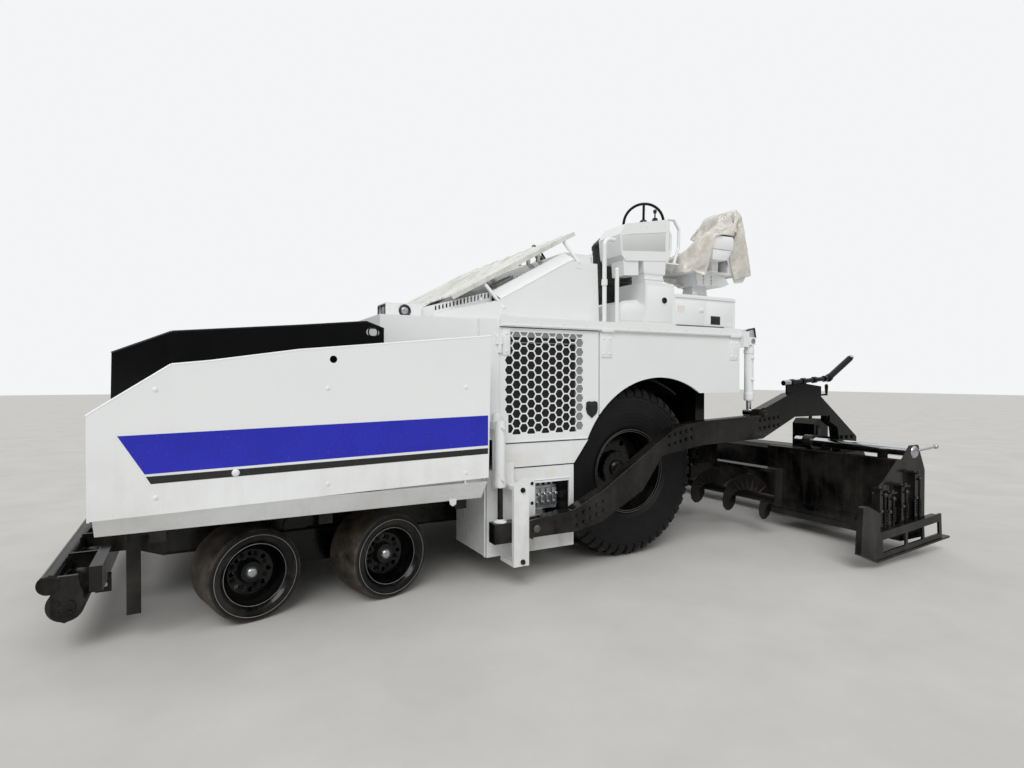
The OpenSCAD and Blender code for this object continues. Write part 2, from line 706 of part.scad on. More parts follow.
module deck_consoles() color(white) both() {
    difference() {
        // head with a slanted top, and the instrument panel let into its side
        side_plate([
            [2833, 2646], [2892, 2735], [3336, 2822], [3362, 2800], [3345, 2514], [3330, 2469],
            [2890, 2436], [2850, 2480]
        ], 960, 1250);
        side_plate([[2860, 2512], [2852, 2632], [2905, 2650], [3318, 2712], [3318, 2548]], 1246, 1251);
    }
    // connector box under the head's front
    side_plate([[2884, 2316], [2874, 2440], [3030, 2452], [3030, 2330]], 1080, 1240);
    // neck and column
    side_plate([[3084, 2356], [3076, 2460], [3320, 2480], [3314, 2356]], 1060, 1246);
    side_plate([[3099, station_z + seat_gap], [3092, 2357], [3296, 2357], [3290, station_z + seat_gap]], 1075, 1240);
    at_steering() translate([0, 0, -200]) cylinder(h = 192 - seat_gap, r = 22, $fn = 32);
    // two bent rails behind the head, on a foot that stands out of it
    block(3330, 3580, 1030, 1130, 2478, 2490);
    bent_tube([[3405, 1100, 2488], [3410, 1100, 2790], [3460, 1100, 2872], [3545, 1100, 2880],
        [3605, 1100, 2800], [3600, 1100, 2640], [3545, 1100, 2488]], 13);
    bent_tube([[3395, 1052, 2488], [3398, 1052, 2760], [3440, 1052, 2826], [3510, 1052, 2822],
        [3552, 1052, 2750], [3546, 1052, 2620], [3500, 1052, 2488]], 13);
}

// Places a shape at the middle of a steering wheel, its axis along Z
module at_steering() translate([at(3370), 900, 2870]) rotate([0, 63, 232]) children();

module steering_wheels() color(black) both() at_steering() {
    rotate_extrude($fn = 64) translate([175, 0]) circle(r = 12, $fn = 24);
    translate([0, 0, -8]) cylinder(h = 24, r = 34, $fn = 32);
    for (a = [60, 180, 300]) rotate([0, 0, a]) translate([20, -11, -5]) cube([150, 22, 9]);
}

module air_cleaner() color(black) translate([at(3330), 500, 0]) {
    // canister with clamp bands, domed cap and a foot ring on the deck
    rotate_extrude($fn = 64) polygon([
        [0, deck_z + seat_gap], [150, deck_z + seat_gap], [150, deck_z + 30], [135, deck_z + 60], [190, 2060],
        [190, 2330], [196, 2336], [196, 2364], [190, 2370], [190, 2700], [198, 2708], [198, 2736], [182, 2760],
        [130, 2810], [60, 2832], [0, 2836]
    ]);
    // intake pipe towards the hood
    translate([0, 0, 2180]) rotate([0, 90, 0]) cylinder(h = 420, r = 62, $fn = 48);
    translate([330, 0, 2180]) rotate([0, 90, 0]) cylinder(h = 36, r = 72, $fn = 48);
}

module seat_bases() color(white) both() {
    // pedestal that tapers upwards, with two rows of height holes
    difference() {
        side_plate([[3780, locker_z + seat_gap], [3720, 2430], [4110, 2430], [4010, locker_z + seat_gap]], 880, 1130);
        for (s = [3800, 3880, 3960], z = [2270, 2320, 2370]) bar_y(s, z, 1100, 1131, 9);
    }
    block(3620, 4200, 790, 1160, 2429, 2450);
    // control box beside the seat: two chamfered tiers, its corner to the outside
    block(3900, 3960, 1150, 1290, 2429, 2448);
    block(3900, 3960, 1240, 1290, 2440, 2500);
    translate([at(3930), 1270, 0]) rotate([0, 0, 45]) {
        translate([-80, -80, 2600]) linear_extrude(140) polygon([[0, 0], [160, 0], [160, 130], [130, 160], [0, 160]]);
        translate([-80, -80, 2490]) linear_extrude(111) polygon([[22, 22], [146, 22], [146, 116], [116, 146], [22, 146]]);
    }
    // back shell of the seat
    side_plate([
        [4150, 2440], [4240, 2440], [4420, 2480], [4300, 2800], [4262, 3040], [4244, 3040], [4236, 2800], [4170, 2560]
    ], 800, 1150);
}

module seats() color("#d8d8d4") both() {
    side_plate([[3630, 2450 + seat_gap], [3610, 2520], [3660, 2575], [4100, 2560], [4140, 2450 + seat_gap]], 770, 1150);
    side_plate([[4092, 2560.7], [4166, 2560.3], [4230, 2800], [4238, 3045], [4192, 3060], [4150, 2960]], 800, 1150);
}

module rear_frame() color(black) {
    hanger_st = body_rear_st + 120 + seat_gap;
    both() difference() {
        union() {
            block(body_rear_st + 1, body_rear_st + 120, frame_y + seat_gap, frame_y + 160, tunnel_z - 260, deck_low_z - 60);
            // lug of a tie-down
            block(tie_rear_st - 45, tie_rear_st + 45, tie_rear_y - 12, tie_rear_y + 12, tie_rear_z - 45, tunnel_z - 259);
        }
        bar_y(tie_rear_st, tie_rear_z, tie_rear_y - 13, tie_rear_y + 13, tie_r);
    }
    block(body_rear_st + 1, body_rear_st + 60, -frame_y, frame_y, tunnel_z + seat_gap, deck_low_z - 60);
    // stiffening ribs of the cross plate
    for (y = [-420, -140, 140, 420])
        side_plate([
            [body_rear_st + 59, tunnel_z + 40], [body_rear_st + 110, tunnel_z + 70], [body_rear_st + 59, deck_low_z - 160]
        ], y - 6, y + 6);
    // case and bearing between the augers
    side_plate([
        [body_rear_st + 60 + seat_gap, tunnel_z + seat_gap], [body_rear_st + 60 + seat_gap, tunnel_z + 36],
        [auger_st + 40, tunnel_z + 36], [auger_st + 70, tunnel_z], [auger_st + 70, auger_z - 80],
        [auger_st + 40, auger_z - 110], [auger_st - 60, auger_z - 110], [auger_st - 150, auger_z - 20],
        [auger_st - 150, tunnel_z + seat_gap]
    ], -70, 70);
    both() {
        // hanger, top plate and outer bearing of an auger
        block(hanger_st, auger_st + 60, frame_y + seat_gap, frame_y + 24, auger_z + 260, tunnel_z);
        block(auger_st - 60, auger_st + 60, frame_y + 23, auger_end_y + 14, auger_z + 260, auger_z + 290);
        side_plate([
            [auger_st - 50, auger_z + 261], [auger_st + 50, auger_z + 261], [auger_st + 50, auger_z - 20],
            [auger_st + 30, auger_z - 50], [auger_st - 30, auger_z - 50], [auger_st - 50, auger_z - 20]
        ], auger_end_y + 2, auger_end_y + 14);
        // stub shafts that carry an auger
        bar_y(auger_st, auger_z, 69, 130, auger_pin_r);
        bar_y(auger_st, auger_z, auger_end_y - 60, auger_end_y + 3, auger_pin_r);
    }
}

// Tie-down lugs: station, height, Y of their middle, radius of the bore
tie_rear_st = 4215;
tie_rear_z = 725;
tie_rear_y = 690;
tie_front_st = -690;
tie_front_z = 268;
tie_front_y = 900;
tie_r = 21;

// Push rollers

roller_st = -830;
roller_z = 262;
roller_r = 88;

module push_frame() color(black) {
    both() difference() {
        union() {
            side_plate([
                [roller_st - 60, roller_z + 120], [roller_st - 30, roller_z + 165], [roller_st + 60, roller_z + 165],
                [roller_st + 90, roller_z + 20], [roller_st + 60, roller_z - 60], [roller_st, roller_z - 85],
                [roller_st - 60, roller_z - 50]
            ], 1190, 1214);
            bar_y(roller_st, roller_z, 1150, 1190, 25);
            block(frame_front_st - 180, frame_front_st - seat_gap, frame_y - 80, frame_y, frame_low_z + 60, frame_low_z + 200);
            // lug of a tie-down
            block(tie_front_st - 40, tie_front_st + 40, tie_front_y - 12, tie_front_y + 12, tie_front_z - 42, roller_z + 70);
            // mount of the upper bar
            for (y = [300, 800]) block(roller_st - 40, roller_st + 120, y, y + 20, roller_z + 100, roller_z + 190);
        }
        bar_y(tie_front_st, tie_front_z, tie_front_y - 13, tie_front_y + 13, tie_r);
    }
    block(roller_st + 110, frame_front_st - 100, -1214, 1214, roller_z + 60, roller_z + 200);
    side_plate([
        [roller_st - 60, roller_z + 120], [roller_st - 30, roller_z + 165], [roller_st + 190, roller_z + 150],
        [roller_st + 90, roller_z - 30], [roller_st + 40, roller_z - 85], [roller_st - 60, roller_z - 50]
    ], -20, 20);
    bar_y(roller_st, roller_z, -70, 70, 25);
    bar_y(roller_st - 68, roller_z + 128, -1214, 1214, 52);
}

module push_roller(side) on_side(side) color(steel) difference() {
    bar_y(roller_st, roller_z, 26, 1186, roller_r);
    bar_y(roller_st, roller_z, 20, 75, 25 + pin_play);
    bar_y(roller_st, roller_z, 1145, 1190, 25 + pin_play);
}

// Hex grille doors

module door(side) on_side(side) color(white) {
    pitch = hex_flat + hex_web;
    rows = floor(740 / pitch);
    columns = floor(640 / (pitch * 0.866));
    difference() {
        union() {
            side_plate([
                [door_front_st + 2, door_low_z], [door_front_st + 2, deck_low_z - 6],
                [door_rear_st, deck_low_z - 6], [door_rear_st, door_low_z + 60], [door_rear_st - 50, door_low_z]
            ], body_y - skin_t, body_y);
            for (z = hinge_places) bar_z(door_front_st + 2, body_y + 6, z, z + 60, 13);
        }
        for (z = hinge_places) {
            bar_z(door_front_st + 2, body_y + 6, z - 1, z + 61, 7 + pin_play);
            block(door_front_st - 20, door_front_st + 24, body_y - 10, body_y + 20, z + 60 + 0.5, z + 122);
        }
        for (c = [0 : columns - 1], r = [0 : rows - 1])
            translate([at(1830 + c * pitch * 0.866), body_y + 1, 1105 + (r + (c % 2) / 2) * pitch])
                rotate([90, 0, 0]) cylinder(h = skin_t + 2, r = hex_flat / 2 / cos(30), $fn = 6);
    }
}

// Tow points, arms and screed

module tow_cylinders() color(white) both() {
    difference() {
        bar_z(tow_cyl_st, arm_y, 720, 1180, 38);
        bar_z(tow_cyl_st, arm_y, 719, 1160, tow_rod_r + pin_play);
    }
    block(tow_cyl_st - 38, tow_cyl_st + 14, body_y + seat_gap, arm_y - 20, 1120, 1170);
}

module tow_blocks() color(black) both() {
    block(tow_st - 330, tow_st - 70, arm_y - arm_w / 2 + 2, arm_y + arm_w / 2 - 2, tow_z - 75, tow_z + 65);
    block(tow_st - 71, tow_st + 40, arm_y - 19, arm_y + 19, tow_z - 40, tow_z + 40);
    bar_y(tow_st, tow_z, arm_y - arm_w / 2 - 6, arm_y + arm_w / 2 + 6, tow_pin_r);
    bar_z(tow_cyl_st, arm_y, tow_z + 60, 960, tow_rod_r);
}

screed_front_st = strike_st + 430;
screed_rear_st = strike_st + 830;

// Station on the arm's rear part, spread between the lift eye and the screed
function arm_rear(d) = lift_st + d * (screed_front_st - lift_st) / 1060;

arm_top = [
    [tow_st - 60, 470], [2240, 510], [2510, 630], [2900, 870], [3230, 1070], [3360, 1100], [3520, 1120],
    [arm_rear(-25), 1150], [arm_rear(-8), 1200], [arm_rear(370), 1337], [arm_rear(430), 1346], [arm_rear(810), 1300]
];
arm_bottom = [
    [screed_front_st, 1120], [arm_rear(430), 1120], [lift_st, 940], [3540, 920], [3100, 860], [2900, 600], [2510, 400],
    [2280, 350], [tow_st - 60, 350]
];

module tow_arms() color(black) both() difference() {
    union() {
        side_plate([for (p = arm_top) p, for (p = arm_bottom) p], arm_y - arm_w / 2, arm_y + arm_w / 2);
        // bracket plate with its roller bar over the rear end
        side_plate([
            [arm_rear(370), 1330], [arm_rear(370), 1436], [arm_rear(430), 1452], [arm_rear(866), 1400],
            [arm_rear(866), 1240], [arm_rear(690), 1180]
        ], arm_y - 8, arm_y + 8);
        strut([arm_rear(330), arm_y, 1432], [arm_rear(990), arm_y, 1478], 21);
        for (d = [430, 590, 750, 910])
            strut([arm_rear(d), arm_y, 1432 + (d - 330) * 0.0697], [arm_rear(d + 40), arm_y, 1432 + (d - 290) * 0.0697], 30);
        // boss beside the eye of the lift cylinder's rod
        bar_y(lift_st, lift_eye_z, lift_y + 45 + seat_gap, arm_y - arm_w / 2 + 1, 34);
        block(lift_st - 60, lift_st + 60, arm_y - arm_w / 2, arm_y - arm_w / 2 + 16, 1100, lift_eye_z);
    }
    // fork round the tow block's tongue
    block(1840, tow_st + 60, arm_y - 25, arm_y + 25, tow_z - 100, tow_z + 100);
    bar_y(tow_st, tow_z, arm_y - 80, arm_y + 80, tow_pin_r + pin_play);
}

module screed_main() color(black) {
    // box of the main screed: a bent shell open at its ends, plates across it
    difference() {
        side_plate([
            [screed_front_st, screed_low_z + 50], [screed_front_st, screed_high_z - 40], [screed_front_st + 40, screed_high_z],
            [screed_rear_st - 90, screed_high_z], [screed_rear_st, screed_high_z - 130], [screed_rear_st, screed_low_z],
            [screed_front_st + 60, screed_low_z]
        ], -screed_y, screed_y);
        side_plate([
            [screed_front_st + 12, screed_low_z + 62], [screed_front_st + 12, screed_high_z - 46],
            [screed_front_st + 46, screed_high_z - 12], [screed_rear_st - 96, screed_high_z - 12],
            [screed_rear_st - 12, screed_high_z - 136], [screed_rear_st - 12, screed_low_z + 30],
            [screed_front_st + 66, screed_low_z + 30]
        ], -screed_y - 1, screed_y + 1);
    }
    for (y = [-screed_y, -520, -20, 480, screed_y - 40])
        side_plate([
            [screed_front_st + 1, screed_low_z + 60], [screed_front_st + 1, screed_high_z - 42],
            [screed_front_st + 42, screed_high_z - 1], [screed_rear_st - 92, screed_high_z - 1],
            [screed_rear_st - 1, screed_high_z - 132], [screed_rear_st - 1, screed_low_z + 1],
            [screed_front_st + 62, screed_low_z + 1]
        ], y, y + 40);
    both() {
        // end brackets up to the tow arms
        for (y = [arm_y - arm_w / 2, arm_y + arm_w / 2 - 20])
            side_plate([
                [screed_front_st - 120, 1119.7], [screed_front_st, 1119.7], [screed_rear_st - 100, 900],
                [screed_rear_st - 100, screed_high_z - 1], [screed_front_st + 50, screed_high_z - 1],
                [screed_front_st, 1000], [screed_front_st - 120, 1060]
            ], y, y + 20);
        // crank box that sets the angle, and its screw
        side_plate([
            [screed_front_st + 40, screed_high_z - 1], [screed_front_st + 40, 1010], [screed_front_st + 90, 1060],
            [screed_rear_st - 190, 1060], [screed_rear_st - 140, 1010], [screed_rear_st - 140, screed_high_z - 1]
        ], 930, 1180);
        strut([screed_front_st + 150, 1055, 1055], [screed_front_st + 210, 1055, 1300], 16);
        strut([screed_front_st + 204, 1055, 1278], [screed_front_st + 212, 1055, 1308], 34);
        // bearing of the extension's guide tube
        difference() {
            union() {
                bar_y(ext_tube_st, ext_tube_z, 1260, 1350, guide_r + 22);
                block(ext_tube_st, screed_front_st + 60, 1260, 1350, screed_high_z - 15, ext_tube_z + 40);
            }
            bar_y(ext_tube_st, ext_tube_z, 1250, 1360, guide_r + pin_play);
        }
        // brackets of the walkway
        for (y = [160, 820, 1420])
            side_plate([
                [screed_rear_st - 1, 200], [screed_rear_st - 1, 331], [screed_rear_st + 160, 331]
            ], y, y + 12);
    }
    // walkway with a raised rear edge
    block(screed_rear_st - 1, screed_rear_st + 170, -screed_y, screed_y, 330, 352);
    block(screed_rear_st + 158, screed_rear_st + 170, -screed_y, screed_y, 351, 390);
}

ext_inner_y = 1000;
// Distance of the guide tube behind the strike plate
tube_back = 230;
ext_tube_st = strike_st + tube_back;
ext_tube_z = 858;
ext_travel = 780;
gate_st = strike_st - 440;
gate_tilt = 4;
// Posts of an end gate: station, height of the cap
GATE_POSTS = [[strike_st - 315, 600], [strike_st - 200, 560], [strike_st - 20, 600], [strike_st + 170, 690]];

// Places a shape on an end gate: station from its shoe's heel, height over the shoe
module on_gate() translate([at(gate_st), 0, shoe_z]) rotate([0, gate_tilt, 0]) translate([-front_x, 0, 0]) children();

module end_gate() {
    out = gate_y - 10;
    on_gate() {
        difference() {
            union() {
                // side plate: tall nose with a chamfered top, then a low frame
                side_plate([
                    [-196, 100], [-142, 452], [-80, 455], [62, 380], [62, 225], [930, 225], [930, 12], [0, 12]
                ], out - 16, out);
                // flanges round the nose
                side_plate([[50, 12], [50, 385], [62, 380], [62, 12]], out - 48, out);
                side_plate([[-142, 440], [-142, 452], [-80, 455], [62, 380], [62, 366], [-83, 442]], out - 48, out);
                side_plate([[-196, 100], [-142, 452], [-130, 452], [-184, 100]], out - 48, out);
                side_plate([[-60, 118], [-60, 130], [50, 130], [50, 118]], out - 48, out);
            }
            // windows of the lower frame
            for (w = [[90, 400], [430, 640], [670, 890]])
                side_plate([[w[0], 60], [w[0], 160], [w[1], 160], [w[1], 60]], out - 49, out + 1);
        }
        // upper rail with holes, and the shoe with its toe bent up
        difference() {
            side_plate([[62, 166], [62, 226], [870, 226], [870, 166]], gate_y - 58, out - 15);
            for (s = [180, 480, 720]) translate([at(s), gate_y - 42, 160]) cylinder(h = 70, r = 10, $fn = 32);
        }
        side_plate([[-196, 96], [-206, 108], [0, 16], [1030, 16], [1030, 0], [-4, 0]], gate_y - 58, gate_y);
    }
}

module extension(side) on_side(side) color(black) {
    side_low = screed_low_z + 10;
    plate_y = gate_y - 112;
    // strike plate with a bent foot and a flanged top, and the box behind it
    side_plate([
        [strike_st, side_low + 60], [strike_st, 806], [strike_st + 60, 806], [strike_st + 60, 794],
        [strike_st + 16, 794], [strike_st + 16, side_low + 62], [strike_st + 52, side_low + 14],
        [strike_st + 40, side_low]
    ], ext_inner_y, plate_y + 1);
    block(strike_st + 39, screed_front_st - 40, ext_inner_y, plate_y + 1, side_low, side_low + 30);
    for (y = [ext_inner_y, 1400, 1800])
        side_plate([
            [strike_st + 15, side_low + 56], [strike_st + 15, 796], [strike_st + 59, 796],
            [screed_front_st - 130, screed_high_z - 60], [screed_front_st - 40, 500], [screed_front_st - 40, side_low + 29],
            [strike_st + 45, side_low + 29]
        ], y, y + 12);
    // end plate that carries the gate's posts
    side_plate([
        [strike_st - 340, 330], [strike_st - 340, 560], [strike_st - 200, 640], [strike_st, 806], [strike_st + 60, 806],
        [ext_tube_st - 60, ext_tube_z + 58], [ext_tube_st + 60, ext_tube_z + 58], [screed_front_st - 40, 700],
        [screed_front_st - 40, side_low], [strike_st + 40, side_low], [strike_st, side_low + 60], [strike_st - 140, 330]
    ], plate_y, plate_y + 12);
    // guide tube
    bar_y(ext_tube_st, ext_tube_z, 1160, gate_y - 98, guide_r);
    block(strike_st + 30, strike_st + 80, 2080, 2140, 790, 880);
    // end gate and the posts on which it floats
    end_gate();
    for (p = GATE_POSTS) {
        top = p[1];
        low = shoe_z + 200 + (p[0] - gate_st) * sin(gate_tilt);
        block(p[0] - 20, p[0] + 20, plate_y + 11, gate_y - 50, low, top);
        block(p[0] - 42, p[0] + 42, plate_y + 1, gate_y - 18, top - 1, top + 12);
        // spring rod beside the post
        strut([p[0] + 44, gate_y - 48, low], [p[0] + 44, gate_y - 48, top - 30], 9);
        for (i = [0 : 5]) bar_z(p[0] + 44, gate_y - 48, low + 70 + i * 20, low + 80 + i * 20, 19);
        block(p[0] + 19, p[0] + 60, gate_y - 62, gate_y - 34, top - 60, top - 46);
    }
}

// Augers

module auger(side) on_side(side) color(steel) translate([at(auger_st), 0, auger_z]) rotate([-90, 0, 0]) {
    difference() {
        translate([0, 0, 72]) cylinder(h = auger_end_y - 72, r = 40, $fn = 48);
        translate([0, 0, 71]) cylinder(h = 61, r = auger_pin_r + pin_play, $fn = 48);
        translate([0, 0, auger_end_y - 61]) cylinder(h = 62, r = auger_pin_r + pin_play, $fn = 48);
    }
    translate([0, 0, 90]) linear_extrude(auger_end_y - 120, twist = 360 * 3, slices = 48, segments = 4)
        translate([36, -7]) square([auger_r - 36, 14]);
}

// Screed lift cylinders

module lift_barrels() color(white) both() difference() {
    union() {
        bar_z(lift_st, lift_y, lift_eye_z + 110, lift_top_z - 42, lift_r);
        block(lift_st - 18, lift_st + 18, lift_y - 20, lift_y + 20, lift_top_z - 43, lift_top_z - 20);
        bar_y(lift_st, lift_top_z, lift_y - 25, lift_y + 25, 34);
    }
    bar_y(lift_st, lift_top_z, lift_y - 30, lift_y + 30, lift_pin_r + pin_play);
    bar_z(lift_st, lift_y, lift_eye_z + 100, lift_top_z - 60, lift_rod_r + pin_play);
}

module lift_rods() color(steel) both() {
    bar_z(lift_st, lift_y, lift_eye_z + 20, lift_eye_z + 420, lift_rod_r);
    bar_y(lift_st, lift_eye_z, lift_y - 45, lift_y + 45, 32);
}

// Front wheels: name, side, station
WHEELS = [
    ["front_left", 1, 0], ["rear_left", 1, bogie_spread],
    ["front_right", -1, 0], ["rear_right", -1, bogie_spread]
];
// Sides: name, side
SIDES = [["left", 1], ["right", -1]];

main_frame();
drive_hubs();
bogie_beams();
conveyor_floor();
conveyor_slats();
hopper_sides();
front_body();
tractor_body();
side_boxes();
deck();
engine_block();
hood_shell();
hood_cover();
rail_posts();
deck_consoles();
steering_wheels();
air_cleaner();
seat_bases();
seats();
rear_frame();
push_frame();
tow_cylinders();
tow_blocks();
tow_arms();
screed_main();
lift_barrels();
lift_rods();
for (e = SIDES) {
    push_roller(e[1]);
    wing(e[1]);
    door(e[1]);
    drive_tyre(e[1]);
    drive_rim(e[1]);
    extension(e[1]);
    auger(e[1]);
}
for (e = WHEELS) {
    knuckle(e[1], e[2]);
    front_tyre(e[1], e[2]);
    front_rim(e[1], e[2]);
}
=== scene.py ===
"""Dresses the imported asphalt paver: enamels, rubber, worn steel, chrome and the small fittings."""

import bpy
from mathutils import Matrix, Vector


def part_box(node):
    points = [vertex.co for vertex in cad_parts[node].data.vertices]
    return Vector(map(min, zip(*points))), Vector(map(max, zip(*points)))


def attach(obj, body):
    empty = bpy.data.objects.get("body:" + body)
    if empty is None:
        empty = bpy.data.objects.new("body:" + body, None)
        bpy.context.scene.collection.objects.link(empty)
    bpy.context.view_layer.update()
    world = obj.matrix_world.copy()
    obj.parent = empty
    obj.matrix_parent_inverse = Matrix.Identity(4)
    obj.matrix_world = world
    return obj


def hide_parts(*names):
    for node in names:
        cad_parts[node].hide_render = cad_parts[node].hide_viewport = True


bl_info = {
    "name": "Asphalt paver",
    "version": (1, 0, 0),
    "blender": (4, 5, 0),
    "location": "3D View > Sidebar > Paver",
    "description": "Finishes and small fittings of a wheeled asphalt paver",
    "category": "Object",
}

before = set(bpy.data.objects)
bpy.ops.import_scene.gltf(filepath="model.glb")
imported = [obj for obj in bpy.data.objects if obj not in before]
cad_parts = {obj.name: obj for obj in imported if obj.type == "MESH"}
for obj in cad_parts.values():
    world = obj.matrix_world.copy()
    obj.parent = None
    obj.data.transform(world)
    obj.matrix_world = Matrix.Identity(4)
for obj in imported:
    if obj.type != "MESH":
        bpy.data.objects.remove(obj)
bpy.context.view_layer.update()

import math

import bmesh
import bpy
from bpy.props import FloatProperty, FloatVectorProperty, IntProperty, PointerProperty
from mathutils import Matrix, Vector, noise

FRONT_X = 2.475
SIDES = (("left", 1), ("right", -1))
CORNERS = (("front_left", 1), ("rear_left", 1), ("front_right", -1), ("rear_right", -1))
# faces of the left side, as distances from the machine's middle
HOPPER_SIDE = 1.525
DECK_EDGE = 1.320
FLANK = 1.300
BOX_SIDE = 1.286
CONSOLE_SIDE = 1.250
LOCKER_SIDE = 1.248
ARM_SIDE = 1.458
# wheel arch in the flank: station and height of its middle, and its radius
ARCH = (3.215, 0.680, 0.805)
# axles and pins, each by station and height
DRIVE_AXLE = (2.97, 0.71)
TOW_PIN = (1.93, 0.41)
GUIDE_TUBE = (5.13, 0.858)
PUSH_ROLLER = (-0.83, 0.262)
# upright cylinders, each by station and side
TOW_CYLINDER = (1.665, 1.41)
LIFT_CYLINDER = (4.27, 1.3)
# how far the front axles stand turned in the part's rest position
FRONT_LEAN = math.radians(15)


def st(station, y, z):
    """A point given by its station behind the foremost axle, its side and its height, in metres."""
    return Vector((FRONT_X - station, y, z))


def linear(text):
    """An sRGB hex colour as linear red, green and blue."""
    parts = [int(text[i : i + 2], 16) / 255 for i in (0, 2, 4)]
    return tuple(c / 12.92 if c <= 0.04045 else ((c + 0.055) / 1.055) ** 2.4 for c in parts)


def per_mm(size):
    """Scale of a noise or wave whose grain is that many millimetres."""
    return 1000 / size


def colour_property(name, text, words):
    return FloatVectorProperty(
        name=name, description=words, subtype="COLOR", size=3, min=0, max=1, default=linear(text)
    )


class PaverFinish(bpy.types.PropertyGroup):
    """Colours of the paints, rubbers and metals."""

    white: colour_property("White enamel", "EFF1F1", "Gloss paint of hopper, body, hood and deck")
    black: colour_property("Black enamel", "060607", "Gloss paint of wings, arms, frame and screed")
    stripe: colour_property("Blue stripe", "0211AC", "Vinyl band along the hopper sides")
    rubber: colour_property("Drive rubber", "0B0B0D", "Carbon-black rubber of the drive tyres")
    dusty: colour_property("Front rubber", "151312", "Rubber of the front tyres, dulled by dust")
    steel: colour_property("Worn steel", "7C7A76", "Rolled steel of rollers, augers and conveyors")
    film: colour_property("Wrapping film", "F1ECE3", "Loose film round the operator's seats")
    dust: colour_property("Dust", "9A948A", "Dry yard dust that settles low on the machine")


class PaverSizes(bpy.types.PropertyGroup):
    """Sizes of the small fittings."""

    drive_nut: FloatProperty(
        name="Drive wheel nut", description="Width of a drive wheel's nut", unit="LENGTH", default=0.036
    )
    hex_flat: FloatProperty(
        name="Grille hexagon", description="Width of a grille hexagon across its flats", unit="LENGTH",
        default=0.0606,
    )
    hex_web: FloatProperty(
        name="Grille web", description="Metal left between two hexagons", unit="LENGTH", default=0.0100
    )
    front_nut: FloatProperty(
        name="Front wheel nut", description="Width of a front wheel's nut", unit="LENGTH", default=0.027
    )
    bolt: FloatProperty(
        name="Frame bolt", description="Width of a bolt's head on frames and arms", unit="LENGTH",
        default=0.03,
    )
    drive_nuts: IntProperty(name="Drive wheel nuts", description="Nuts on a drive wheel", default=12)
    front_nuts: IntProperty(name="Front wheel nuts", description="Nuts on a front wheel", default=8)


class PaverStage(bpy.types.PropertyGroup):
    """Camera, lamps and floor."""

    lens: FloatProperty(name="Lens", description="Focal length on a 36 mm sensor", default=21.09)
    place: FloatVectorProperty(
        name="Camera", description="Where the camera stands", subtype="TRANSLATION", unit="LENGTH",
        size=3, default=(2.695, 5.13, 1.48),
    )
    heading: FloatProperty(
        name="Heading", description="Turn of the camera from the machine's rear, towards its right side",
        subtype="ANGLE", default=math.radians(62),
    )
    pitch: FloatProperty(
        name="Pitch", description="How far the camera looks down", subtype="ANGLE", default=math.radians(0.57)
    )
    sun: FloatProperty(name="Sun", description="Strength of the soft main lamp", default=1.5)
    sky: FloatProperty(name="Sky", description="Strength of the even light all round", default=0.62)


# radii and heights of turned parts, from the middle of the outer end inwards
# wheels: hub cover, flange that laps over the tyre, bright hub cap
HUB_COVER = ((0, 0.03), (0.03, 0.029), (0.06, 0.018), (0.072, 0.004), (0.074, -0.02))
RIM_FLANGE = (
    (0.187, 0.152), (0.196, 0.166), (0.212, 0.1795), (0.236, 0.181), (0.245, 0.184), (0.248, 0.1795),
    (0.246, 0.1783),
)
HUB_CAP = ((0, 0.034), (0.018, 0.032), (0.032, 0.024), (0.038, 0.012), (0.04, 0.0), (0.048, -0.002))
# screw and button heads
HOPPER_BUTTON = ((0, 0.006), (0.007, 0.0055), (0.012, 0.003), (0.0135, 0.0))
HOPPER_PLUG = ((0, 0.009), (0.012, 0.008), (0.019, 0.004), (0.021, 0.0))
HINGE_SCREW = ((0, 0.005), (0.006, 0.0045), (0.010, 0.002), (0.011, 0))
EDGE_BUTTON = ((0, 0.004), (0.006, 0.0035), (0.009, 0.0))
BOX_KNOB = ((0, 0.007), (0.009, 0.006), (0.013, 0.002), (0.0135, 0.0))
LID_SCREW = ((0, 0.003), (0.004, 0.0027), (0.007, 0.0))
CONSOLE_SCREW = ((0, 0.0035), (0.005, 0.003), (0.008, 0.0))
POST_FERRULE = ((0.0135, 0.012), (0.02, 0.01), (0.022, 0))
COVER_SCREW = ((0, 0.004), (0.006, 0.0035), (0.010, 0.001), (0.0105, 0))
# valves, door knuckles, filler and gauges
SPOOL_CAP = ((0, 0.034), (0.008, 0.034), (0.012, 0.03), (0.012, 0.006), (0.016, 0.004), (0.016, 0))
RELIEF_CAP = ((0, 0.045), (0.009, 0.045), (0.009, 0.022), (0.014, 0.02), (0.014, 0.0))
DOOR_KNUCKLE = (
    (0.0072, 0.0), (0.0115, 0.0), (0.013, 0.0015), (0.013, 0.0585), (0.0115, 0.06), (0.0072, 0.06),
    (0.0072, 0.0),
)
FILLER_CAP = ((0, 0.052), (0.03, 0.052), (0.048, 0.046), (0.05, 0.02), (0.058, 0.018), (0.058, 0.0))
LOCKER_GAUGE = ((0, 0.002), (0.014, 0.002), (0.016, 0.009), (0.024, 0.009), (0.026, 0.0))
CONSOLE_GAUGE = ((0, 0.002), (0.022, 0.002), (0.023, 0.008), (0.028, 0.007), (0.029, -0.012))
SWITCH = ((0, 0.012), (0.006, 0.011), (0.008, 0.004), (0.01, -0.012))
